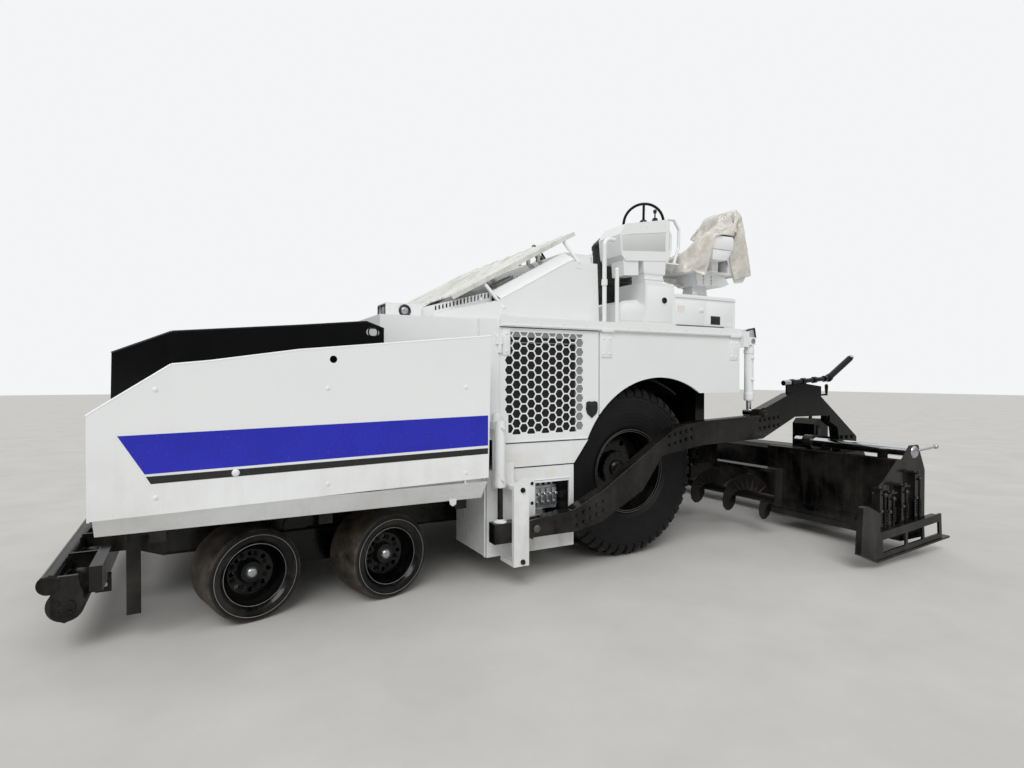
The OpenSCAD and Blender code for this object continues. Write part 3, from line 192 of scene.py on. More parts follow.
# joystick, steering wheel, hood and lamps
JOYSTICK = (
    (0.03, -0.004), (0.03, 0.006), (0.024, 0.012), (0.027, 0.018), (0.02, 0.024), (0.022, 0.03),
    (0.012, 0.036), (0.006, 0.04), (0.006, 0.07), (0.014, 0.08), (0.016, 0.095), (0.01, 0.106), (0, 0.108),
)
WHEEL_CAP = ((0, 0.030), (0.02, 0.029), (0.032, 0.024), (0.036, 0.016), (0.038, 0.004))
WHEEL_BOOT = (
    (0.024, 0.005), (0.034, 0.012), (0.026, 0.02), (0.034, 0.028), (0.026, 0.036), (0.032, 0.046),
    (0.024, 0.06),
)
HOOD_BEZEL = ((0.093, -0.012), (0.093, 0.004), (0.098, 0.012), (0.108, 0.012), (0.116, 0.004), (0.118, 0.0))
BEZEL_FLOOR = ((0, 0.0), (0.09, 0.0), (0.093, 0.02))
ROUND_LENS = ((0, 0.012), (0.014, 0.011), (0.026, 0.007), (0.032, 0.0))
LENS_RIM = ((0.030, -0.004), (0.031, 0.006), (0.036, 0.009), (0.042, 0.006), (0.044, 0.0))
# tow arms, cylinders and cranks
BOSS_CAP = ((0, 0.022), (0.02, 0.022), (0.03, 0.016), (0.034, 0.004), (0.05, 0.003), (0.05, 0.0))
CRANK_COLLAR = ((0.030, 0), (0.037, 0.004), (0.037, 0.03), (0.030, 0.034))
CRANK_KNOB = ((0.018, 0.0), (0.024, 0.006), (0.027, 0.018), (0.024, 0.032), (0.014, 0.040), (0, 0.042))
PIN_KEEPER = ((0, 0.008), (0.018, 0.008), (0.027, 0.003), (0.028, 0.0))
ROD_COLLAR = ((0.046, 0.0), (0.046, 0.006), (0.038, 0.012), (0.030, 0.014), (0.0285, 0.022), (0.0262, 0.024))
TOW_GLAND = ((0.0265, 0.0), (0.034, 0.0), (0.041, 0.006), (0.043, 0.034), (0.041, 0.05), (0.0385, 0.052))
TOW_PORT = ((0, 0.022), (0.009, 0.022), (0.009, 0.01), (0.014, 0.009), (0.014, 0.0))
LIFT_GLAND = ((0.0225, 0.0), (0.037, 0.0), (0.0432, 0.008), (0.0440, 0.05), (0.0430, 0.07), (0.0405, 0.078))
LIFT_RING = ((0.0403, 0.0), (0.045, 0.004), (0.045, 0.04), (0.0403, 0.044))
LIFT_PORT = ((0, 0.02), (0.01, 0.02), (0.01, 0.01), (0.016, 0.009), (0.016, 0.0))
PIN_HEAD = ((0, 0.004), (0.014, 0.004), (0.024, 0.002), (0.026, -0.003))
# screed and push rollers
ANGLE_KNOB = ((0, 0.11), (0.012, 0.106), (0.017, 0.09), (0.014, 0.03), (0.009, 0.0))
TUBE_END = ((0, 0.016), (0.03, 0.016), (0.045, 0.01), (0.052, 0.0))
ROLLER_CAP = ((0, 0.012), (0.02, 0.012), (0.03, 0.006), (0.05, 0.005), (0.052, 0.0))
BAR_CAP = ((0, 0.008), (0.03, 0.008), (0.05, 0.003), (0.0535, 0.0))


def add(tree, kind, settings=None, values=None, links=None):
    """Adds a node with its settings, its sockets' constants and the sockets that feed it."""
    node = tree.nodes.new(kind)
    for key, value in (settings or {}).items():
        setattr(node, key, value)
    for key, value in (values or {}).items():
        node.inputs[key].default_value = value
    for key, source in (links or {}).items():
        tree.links.new(source, node.inputs[key])
    return node


def rgba(colour):
    return (*colour[:3], 1.0)


def blend_colour(tree, factor, a, b):
    """A colour between a and b; each is a colour or a socket."""
    node = add(tree, "ShaderNodeMix", {"data_type": "RGBA"}, {}, {0: factor})
    for slot, value in ((6, a), (7, b)):
        if isinstance(value, bpy.types.NodeSocket):
            tree.links.new(value, node.inputs[slot])
        else:
            node.inputs[slot].default_value = rgba(value)
    return node.outputs[2]


def remap(tree, source, low, high, to_low=0.0, to_high=1.0):
    node = add(
        tree, "ShaderNodeMapRange", {"clamp": True},
        {"From Min": low, "From Max": high, "To Min": to_low, "To Max": to_high}, {"Value": source},
    )
    return node.outputs["Result"]


def times(tree, a, b, operation="MULTIPLY"):
    node = add(tree, "ShaderNodeMath", {"operation": operation}, {}, {0: a})
    if isinstance(b, bpy.types.NodeSocket):
        tree.links.new(b, node.inputs[1])
    else:
        node.inputs[1].default_value = b
    return node.outputs[0]


def start(name, **shader):
    """A new material: its tree, its shader and the object's own coordinates."""
    material = bpy.data.materials.new(name)
    material.use_nodes = True
    tree = material.node_tree
    tree.nodes.clear()
    bsdf = add(tree, "ShaderNodeBsdfPrincipled", {}, shader)
    add(tree, "ShaderNodeOutputMaterial", {}, {}, {"Surface": bsdf.outputs[0]})
    place = add(tree, "ShaderNodeTexCoord").outputs["Object"]
    return material, tree, bsdf, place


def grain(tree, place, size, detail=4.0, rough=0.55, stretch=None):
    """Noise whose grain is that many millimetres, longer along an axis where stretch says so."""
    if stretch:
        place = add(tree, "ShaderNodeMapping", {}, {"Scale": stretch}, {"Vector": place}).outputs[0]
    node = add(
        tree, "ShaderNodeTexNoise", {},
        {"Scale": per_mm(size), "Detail": detail, "Roughness": rough}, {"Vector": place},
    )
    return node.outputs["Fac"]


def bump(tree, bsdf, height, depth, strength=1.0):
    node = add(tree, "ShaderNodeBump", {}, {"Strength": strength, "Distance": depth}, {"Height": height})
    tree.links.new(node.outputs[0], bsdf.inputs["Normal"])


def enamel(name, colour, dust, gloss, low, high, dustiness, streaks=0.25):
    """Sprayed two-part enamel: a glossy coat that gathers dust near the ground, deeper where it is dark."""
    dark = sum(colour[:3]) < 0.3
    material, tree, bsdf, place = start(name, IOR=1.3 if dark else 1.5)
    bsdf.inputs["Coat Weight"].default_value = 0.04 if dark else 0.3
    bsdf.inputs["Coat Roughness"].default_value = 0.06
    height = add(tree, "ShaderNodeSeparateXYZ", {}, {}, {0: place}).outputs["Z"]
    low_down = remap(tree, height, low, high, 1.0, 0.06)
    cloud = remap(tree, grain(tree, place, 420, 5.0, 0.62), 0.42, 0.66)
    run = remap(tree, grain(tree, place, 90, 3.0, 0.6, (1, 1, 0.12)), 0.5, 0.74)
    speck = remap(tree, grain(tree, place, 16, 3.0, 0.7), 0.62, 0.72)
    dirt = times(tree, times(tree, cloud, dustiness), low_down)
    dirt = times(tree, dirt, times(tree, times(tree, run, streaks), low_down), "ADD")
    dirt = times(tree, dirt, times(tree, times(tree, speck, dustiness * 0.5), low_down), "ADD")
    tone = remap(tree, grain(tree, place, 900, 2.0), 0.35, 0.65)
    base = blend_colour(tree, times(tree, tone, 0.5), colour, tuple(c * 0.94 for c in colour[:3]))
    tree.links.new(blend_colour(tree, dirt, base, dust), bsdf.inputs["Base Color"])
    tree.links.new(remap(tree, dirt, 0.0, 0.7, gloss, 0.72), bsdf.inputs["Roughness"])
    # orange peel of sprayed paint, about 12 mm across so that it shows
    bump(tree, bsdf, grain(tree, place, 12, 2.0), 0.0004, 0.5)
    return material


def bare_metal(name, colour, rust, rough, grain_mm, stretch, rust_share):
    """Rolled or worn steel: brushed along its work, with brown patches where it rests."""
    material, tree, bsdf, place = start(name, Metallic=0.85)
    lines = grain(tree, place, grain_mm, 4.0, 0.6, stretch)
    patch = remap(tree, grain(tree, place, 120, 5.0, 0.65), 0.72 - rust_share, 0.8 - rust_share * 0.5)
    tone = blend_colour(tree, lines, tuple(c * 0.55 for c in colour[:3]), colour)
    tree.links.new(blend_colour(tree, times(tree, patch, 0.8), tone, rust), bsdf.inputs["Base Color"])
    tree.links.new(times(tree, times(tree, lines, 0.25), rough, "ADD"), bsdf.inputs["Roughness"])
    bump(tree, bsdf, lines, 0.0006, 0.6)
    return material


def distance(tree, offset, mask):
    """Length of an offset along the axes that the mask keeps."""
    flat = add(tree, "ShaderNodeVectorMath", {"operation": "MULTIPLY"}, {1: mask}, {0: offset}).outputs[0]
    return add(tree, "ShaderNodeVectorMath", {"operation": "LENGTH"}, {}, {0: flat}).outputs["Value"]


def moulded_rubber(name, colour, dust, dustiness, axle, lean, ribs_mm, tread):
    """Cured tyre rubber: dull, with rings from the mould, and dust on its tread from that radius outwards."""
    material, tree, bsdf, place = start(name, Roughness=0.8, IOR=1.33)
    turned = add(
        tree, "ShaderNodeMapping", {"vector_type": "TEXTURE"},
        {"Location": axle, "Rotation": (0, 0, lean)}, {"Vector": place},
    ).outputs[0]
    radius = distance(tree, turned, (1, 0, 1))
    # one wave for each ring that the mould leaves
    waves = times(tree, radius, 2 * math.pi * per_mm(ribs_mm))
    rings = add(tree, "ShaderNodeMath", {"operation": "SINE"}, {}, {0: waves}).outputs[0]
    cloud = remap(tree, grain(tree, place, 130, 6.0, 0.65), 0.34, 0.7)
    fine = grain(tree, place, 9, 4.0, 0.7)
    dirt = times(tree, times(tree, cloud, dustiness), remap(tree, fine, 0.3, 0.6, 0.5, 1.0))
    dirt = times(tree, dirt, remap(tree, radius, tread - 0.012, tread, 0.12, 1.0))
    tree.links.new(blend_colour(tree, dirt, colour, dust), bsdf.inputs["Base Color"])
    tree.links.new(remap(tree, dirt, 0.0, 0.8, 0.55, 0.9), bsdf.inputs["Roughness"])
    height = times(tree, times(tree, remap(tree, rings, 0.5, 1.0), 0.8), times(tree, fine, 0.35), "ADD")
    bump(tree, bsdf, height, 0.002, 0.6)
    return material


def plain(name, colour, rough, metal=0.0, grain_mm=30, depth=0.0003):
    """Moulded plastic, zinc plate or a printed film: nearly even, with a fine tooth."""
    material, tree, bsdf, place = start(name, Metallic=metal)
    mottle = remap(tree, grain(tree, place, grain_mm), 0.3, 0.7)
    shade = blend_colour(tree, mottle, tuple(c * 0.86 for c in colour[:3]), colour)
    tree.links.new(shade, bsdf.inputs["Base Color"])
    tree.links.new(remap(tree, mottle, 0, 1, rough, rough * 0.8), bsdf.inputs["Roughness"])
    bump(tree, bsdf, grain(tree, place, grain_mm * 0.3), depth, 0.4)
    return material


def chrome_in_black(name, black, dust, centre, radius):
    """Black enamel, and hard chrome plate on the round bar that runs across the machine through the piece."""
    material = enamel(name, black, dust, 0.18, 0.1, 1.6, 0.1, 0.06)
    tree = material.node_tree
    bsdf = next(n for n in tree.nodes if n.type == "BSDF_PRINCIPLED")
    place = add(tree, "ShaderNodeTexCoord").outputs["Object"]
    off = add(tree, "ShaderNodeVectorMath", {"operation": "SUBTRACT"}, {1: centre}, {0: place}).outputs[0]
    # the plate ends 0.8 mm outside the bar
    plated = times(tree, distance(tree, off, (1, 0, 1)), radius + 0.0008, "LESS_THAN")
    colour, rough = bsdf.inputs["Base Color"], bsdf.inputs["Roughness"]
    painted = colour.links[0].from_socket
    tree.links.new(blend_colour(tree, plated, painted, linear("C9CCCE")), colour)
    dull = rough.links[0].from_socket
    polish = add(tree, "ShaderNodeMix", {"data_type": "FLOAT"}, {3: 0.1}, {0: plated, 2: dull})
    tree.links.new(polish.outputs[0], rough)
    tree.links.new(plated, bsdf.inputs["Metallic"])
    return material


def keep(name, build, *values):
    """The material of that name, built once from its values."""
    return bpy.data.materials.get(name) or build(name, *values)


def paint_white():
    f = bpy.context.scene.paver_finish
    return keep("white_enamel", enamel, f.white, f.dust, 0.2, 0.25, 1.3, 0.3)


def paint_black():
    f = bpy.context.scene.paver_finish
    return keep("black_enamel", enamel, f.black, f.dust, 0.16, 0.1, 1.7, 0.09, 0.05)


def worn_steel():
    f = bpy.context.scene.paver_finish
    return keep("rolled_steel", bare_metal, f.steel, linear("5A4A3C"), 0.32, 14, (1, 0.15, 1), 0.2)


def zinc():
    return keep("zinc_plated_steel", plain, linear("B9BCBE"), 0.35, 0.9, 8)


def chrome():
    return keep("hard_chrome", plain, linear("C9CCCE"), 0.12, 1.0, 40, 0.0001)


def dark_plastic():
    return keep("moulded_black_plastic", plain, linear("1B1B1D"), 0.45, 0.0, 6)


def pressed_glass(name, colour, rough=0.12):
    """Pressed lamp glass: a pale body whose ribs glint under a clear skin."""
    material, tree, bsdf, place = start(name, Metallic=0.35, IOR=1.5)
    bsdf.inputs["Coat Weight"].default_value = 1.0
    bsdf.inputs["Coat Roughness"].default_value = 0.03
    ribs = add(
        tree, "ShaderNodeTexWave", {"bands_direction": "X"}, {"Scale": per_mm(40), "Distortion": 0.0},
        {"Vector": place},
    ).outputs["Fac"]
    tone = blend_colour(tree, ribs, tuple(c * 0.7 for c in colour), colour)
    tree.links.new(tone, bsdf.inputs["Base Color"])
    tree.links.new(remap(tree, ribs, 0, 1, rough, rough * 2), bsdf.inputs["Roughness"])
    bump(tree, bsdf, ribs, 0.001, 0.5)
    return material


def vinyl(name, colour):
    """Cut self-adhesive film: an even colour, slightly peeled skin, a fine scatter of dust."""
    material, tree, bsdf, place = start(name, IOR=1.46)
    bsdf.inputs["Coat Weight"].default_value = 0.4
    bsdf.inputs["Coat Roughness"].default_value = 0.12
    film = remap(tree, grain(tree, place, 240, 4.0), 0.35, 0.7)
    base = blend_colour(tree, film, colour, tuple(min(1, c * 1.12 + 0.004) for c in colour))
    fleck = times(tree, remap(tree, grain(tree, place, 12, 3.0), 0.64, 0.74), 0.12)
    tree.links.new(blend_colour(tree, fleck, base, linear("B9B3A8")), bsdf.inputs["Base Color"])
    tree.links.new(remap(tree, film, 0, 1, 0.22, 0.32), bsdf.inputs["Roughness"])
    bump(tree, bsdf, grain(tree, place, 60, 2.0), 0.0003, 0.4)
    return material


def transport_film(name, colour):
    """Thin milky polythene: half see-through, crinkled, with sharp glints and yard dust."""
    material, tree, bsdf, place = start(name, IOR=1.5, Alpha=0.6)
    bsdf.inputs["Coat Weight"].default_value = 0.8
    bsdf.inputs["Coat Roughness"].default_value = 0.08
    folds = remap(tree, grain(tree, place, 90, 5.0, 0.6), 0.35, 0.65)
    shade = blend_colour(tree, folds, tuple(c * 0.9 for c in colour[:3]), colour)
    tree.links.new(shade, bsdf.inputs["Base Color"])
    tree.links.new(remap(tree, folds, 0, 1, 0.55, 0.8), bsdf.inputs["Alpha"])
    tree.links.new(remap(tree, folds, 0, 1, 0.18, 0.34), bsdf.inputs["Roughness"])
    bump(tree, bsdf, grain(tree, place, 60, 3.0, 0.55), 0.004, 0.6)
    return material


def tread_plate(name, black, steel, dust):
    """Rolled floor plate with crossed teardrops, painted black and worn at the tips."""
    material, tree, bsdf, place = start(name, IOR=1.5)
    waves = []
    for turn in (math.radians(45), math.radians(-45)):
        spun = add(
            tree, "ShaderNodeMapping", {}, {"Rotation": (0, 0, turn), "Scale": (1, 0.4, 1)}, {"Vector": place}
        )
        wave = add(
            tree, "ShaderNodeTexWave", {"bands_direction": "X"}, {"Scale": per_mm(125), "Distortion": 0.0},
            {"Vector": spun.outputs[0]},
        )
        waves.append(remap(tree, wave.outputs["Fac"], 0.7, 0.9))
    tips = times(tree, times(tree, waves[0], waves[1], "MAXIMUM"), grain(tree, place, 40), "MULTIPLY")
    cloud = remap(tree, grain(tree, place, 300, 5.0), 0.4, 0.65)
    base = blend_colour(tree, times(tree, tips, 0.5), black, steel)
    tree.links.new(blend_colour(tree, times(tree, cloud, 0.5), base, dust), bsdf.inputs["Base Color"])
    tree.links.new(remap(tree, cloud, 0, 1, 0.35, 0.75), bsdf.inputs["Roughness"])
    bump(tree, bsdf, tips, 0.002, 0.8)
    return material


def painted_tread():
    f = bpy.context.scene.paver_finish
    return keep("tread_plate_enamel", tread_plate, f.black, f.steel, f.dust)


def facing(direction):
    """A turn that lays the Z axis along a direction."""
    return Vector(direction).to_track_quat("Z", "Y").to_matrix().to_4x4()


def round_edges(bm, verts, bevel):
    """Bevels every edge that meets the given vertices."""
    edges = list({edge for vert in verts for edge in vert.link_edges})
    bmesh.ops.bevel(
        bm, geom=edges, offset=bevel, offset_type="OFFSET", affect="EDGES", segments=2, profile=0.5,
        material=-1,
    )


def drawn_out(bm, faces, run):
    """Draws flat faces out along run, and gives the vertices that moved."""
    made = bmesh.ops.extrude_face_region(bm, geom=faces)["geom"]
    moved = [part for part in made if isinstance(part, bmesh.types.BMVert)]
    bmesh.ops.translate(bm, vec=Vector(run), verts=moved)
    return moved


def box(bm, low, high, bevel=0.0):
    """A box between two corners, its edges rounded by bevel."""
    low, high = Vector(low), Vector(high)
    low, high = Vector(map(min, low, high)), Vector(map(max, low, high))
    matrix = Matrix.Translation((low + high) / 2) @ Matrix.Diagonal((*(high - low), 1))
    made = bmesh.ops.create_cube(bm, size=1.0, matrix=matrix)
    if bevel:
        round_edges(bm, made["verts"], bevel)


def rod(bm, start_point, end_point, radius, segments=24):
    """A round bar from point to point."""
    run = Vector(end_point) - Vector(start_point)
    matrix = Matrix.Translation((Vector(start_point) + Vector(end_point)) / 2) @ facing(run)
    bmesh.ops.create_cone(
        bm, cap_ends=True, cap_tris=False, segments=segments, radius1=radius, radius2=radius,
        depth=run.length, matrix=matrix,
    )


def beading(bm, route, y, radius, segments=12):
    """Round bars from point to point of a route of stations and heights on a side."""
    for a, b in zip(route, route[1:]):
        rod(bm, st(a[0], y, a[1]), st(b[0], y, b[1]), radius, segments)


def bar_frame(bm, corners, radius, segments):
    """Round bars from corner to corner and back to the first."""
    for a, b in zip(corners, corners[1:] + corners[:1]):
        rod(bm, a, b, radius, segments)


def hex_head(bm, point, outward, width, height=None):
    """A hexagon head on a washer, standing on a surface at a point."""
    point, outward = Vector(point), Vector(outward).normalized()
    height = height or width * 0.45
    rod(bm, point - outward * 0.002, point + outward * width * 0.1, width * 0.72, 16)
    rod(bm, point, point + outward * (height + width * 0.1), width * 0.577, 6)


def turned(bm, centre, outward, profile, segments=32):
    """A round part: (radius, height) pairs turned about an axis that starts at centre."""
    centre, outward = Vector(centre), Vector(outward).normalized()
    matrix = Matrix.Translation(centre) @ facing(outward)
    verts = [bm.verts.new(matrix @ Vector((radius, 0, height))) for radius, height in profile]
    edges = [bm.edges.new(pair) for pair in zip(verts, verts[1:])]
    bmesh.ops.spin(
        bm, geom=verts + edges, cent=centre, axis=outward, angle=2 * math.pi, steps=segments,
        use_merge=True, use_duplicate=False,
    )


def stud(bm, station, y, height, profile, segments):
    """A round part that stands outwards on a side of the machine."""
    turned(bm, st(station, y, height), (0, math.copysign(1, y), 0), profile, segments)


def prism(bm, outline, run, bevel=0.0):
    """A plate: a flat outline of points drawn out along run."""
    verts = [bm.verts.new(point) for point in outline]
    moved = drawn_out(bm, [bm.faces.new(verts)], run)
    if bevel:
        round_edges(bm, verts + moved, bevel)


def side_sheet(bm, outline, y, thick, bevel=0.0):
    """A plate on a flank of the machine: stations and heights at a side, standing thick outwards."""
    prism(bm, [st(station, y, height) for station, height in outline], (0, math.copysign(thick, y), 0), bevel)


def rectangle(low, high):
    """Corners of an upright rectangle from its low front one to its high rear one."""
    return [low, (low[0], high[1]), high, (high[0], low[1])]


def plate(bm, low, high, y, thick, bevel=0.0):
    """A rectangular plate on a flank of the machine."""
    side_sheet(bm, rectangle(low, high), y, thick, bevel)


def pierced(bm, outline, openings, run):
    """A plate with openings: flat loops filled between each other and drawn out along run."""
    edges = []
    for loop in (outline, *openings):
        verts = [bm.verts.new(point) for point in loop]
        edges += [bm.edges.new((verts[i - 1], verts[i])) for i in range(len(verts))]
    filled = bmesh.ops.triangle_fill(bm, use_beauty=True, use_dissolve=False, edges=edges)["geom"]
    drawn_out(bm, [part for part in filled if isinstance(part, bmesh.types.BMFace)], run)


def ring(station, height, radius, count):
    """Points spaced evenly round a circle of stations and heights."""
    angles = [i * 2 * math.pi / count for i in range(count)]
    return [(station + radius * math.cos(a), height + radius * math.sin(a)) for a in angles]


def clipped(outline, low, high):
    """What a window leaves of a convex outline."""
    for axis in (0, 1):
        for limit, way in ((low[axis], 1), (high[axis], -1)):
            kept = []
            for a, b in zip(outline, outline[1:] + outline[:1]):
                inside_a, inside_b = (a[axis] - limit) * way, (b[axis] - limit) * way
                if inside_a >= 0:
                    kept.append(a)
                if inside_a * inside_b < 0:
                    share = inside_a / (inside_a - inside_b)
                    kept.append((a[0] + (b[0] - a[0]) * share, a[1] + (b[1] - a[1]) * share))
            outline = kept
    return outline


def arch(start, end, count):
    """Points along the round edge of the wheel arch, from one station to another."""
    middle, height, radius = ARCH
    stations = [start + (end - start) * i / (count - 1) for i in range(count)]
    return [(station, height + math.sqrt(radius**2 - (station - middle) ** 2)) for station in stations]


def weld(bm, start_point, end_point, size=0.006):
    """A fillet weld: overlapping drops laid along a joint."""
    run = Vector(end_point) - Vector(start_point)
    count = max(2, int(run.length / (size * 1.6)))
    shape = facing(run) @ Matrix.Diagonal((1, 1, 1.25, 1))
    for i in range(count):
        place = Vector(start_point) + run * (i + 0.5) / count
        bmesh.ops.create_icosphere(bm, subdivisions=1, radius=size, matrix=Matrix.Translation(place) @ shape)


def hoop(bm, centre, outward, radius, wire, segments=48):
    """A round ring of wire about an axis."""
    outward = Vector(outward).normalized()
    section = Matrix.Translation((radius, 0, 0)) @ Matrix.Rotation(math.pi / 2, 4, "X")
    made = bmesh.ops.create_circle(
        bm, segments=8, radius=wire, matrix=Matrix.Translation(centre) @ facing(outward) @ section
    )
    edges = list({edge for vert in made["verts"] for edge in vert.link_edges})
    bmesh.ops.spin(
        bm, geom=made["verts"] + edges, cent=centre, axis=outward, angle=2 * math.pi, steps=segments,
        use_merge=True, use_duplicate=False,
    )


def middle_of(name):
    """The middle of a CAD node's box."""
    low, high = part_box(name)
    return (low + high) / 2


def placed(name, data):
    """An object in the scene that shows a mesh, lamp or camera."""
    made = bpy.data.objects.new(name, data)
    bpy.context.scene.collection.objects.link(made)
    return made


def from_bmesh(name, bm):
    """An object in the scene whose mesh is a finished bmesh."""
    mesh = bpy.data.meshes.new(name)
    bm.to_mesh(mesh)
    bm.free()
    return placed(name, mesh)


def piece(name, bm, body, material):
    """Ends a mesh: normals out, edges sharp past an angle, riding on its body."""
    bmesh.ops.remove_doubles(bm, verts=bm.verts, dist=1e-6)
    bmesh.ops.recalc_face_normals(bm, faces=bm.faces)
    made = from_bmesh(name, bm)
    made.data.polygons.foreach_set("use_smooth", [True] * len(made.data.polygons))
    made.data.set_sharp_from_angle(angle=math.radians(35))
    made.data.materials.append(material)
    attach(made, body)
    return made


class PAVER_OT_finishes(bpy.types.Operator):
    """Give every carried-over CAD node its paint, rubber or metal"""

    bl_idname = "paver.finishes"
    bl_label = "Finishes"

    def execute(self, context):
        f = context.scene.paver_finish
        white, black, steel = paint_white(), paint_black(), worn_steel()
        groups = {
            white: (
                "hopper_sides front_body side_boxes deck hood_shell rail_posts "
                "deck_consoles tow_cylinders lift_barrels"
            ),
            black: (
                "main_frame drive_hubs bogie_beams rear_frame push_frame wing_left wing_right tow_arms "
                "screed_main knuckle_front_left knuckle_rear_left knuckle_front_right knuckle_rear_right "
                "steering_wheels"
            ),
            steel: "conveyor_floor conveyor_slats",
        }
        for material, names in groups.items():
            for name in names.split():
                self.dress(name, material)
        rust, stain = linear("3A332C"), linear("3A2E26")
        roller = bare_metal("worn_roller_steel", linear("48484A"), rust, 0.3, 22, (1, 0.08, 1), 0.28)
        flight = bare_metal("dark_auger_steel", linear("3C3B3A"), stain, 0.34, 18, (1, 0.3, 1), 0.24)
        cover = enamel("cover_enamel", linear("E2E3DF"), linear("8C8374"), 0.3, 2.9, 1.2, 0.45, 0.5)
        self.dress("hood_cover", cover)
        self.dress("engine_block", enamel("engine_enamel", linear("3C4046"), f.dust, 0.4, 1.0, 2.2, 0.4))
        rim = enamel("rim_enamel", linear("08080A"), f.dust, 0.12, 0.0, 1.2, 0.06, 0.03)
        mud = linear("6E655B")
        for name, _ in CORNERS:
            self.dress(f"rim_{name}", rim)
            middle = middle_of(f"tyre_{name}")
            tyre = moulded_rubber(f"front_rubber_{name}", f.dusty, mud, 0.9, middle, FRONT_LEAN, 26, 0.274)
            self.dress(f"tyre_{name}", tyre)
        tube = st(GUIDE_TUBE[0], 0, GUIDE_TUBE[1])
        plated = chrome_in_black("screed_enamel_and_chrome", f.black, f.dust, tube, 0.045)
        for side, _ in SIDES:
            self.dress(f"push_roller_{side}", roller)
            self.dress(f"auger_{side}", flight)
            self.dress(f"drive_rim_{side}", rim)
            middle = middle_of(f"drive_tyre_{side}")
            tyre = moulded_rubber(f"drive_rubber_{side}", f.rubber, f.dust, 0.12, middle, 0.0, 34, 0.67)
            self.dress(f"drive_tyre_{side}", tyre)
            self.dress(f"extension_{side}", plated)
        self.dress("lift_rods", chrome())
        self.dress("tow_blocks", black)
        drum = enamel("air_cleaner_enamel", linear("121214"), f.dust, 0.38, 1.6, 2.8, 0.25)
        self.dress("air_cleaner", drum)
        return {"FINISHED"}

    def dress(self, name, material):
        """Gives a CAD node one material."""
        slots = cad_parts[name].data.materials
        slots.clear()
        slots.append(material)


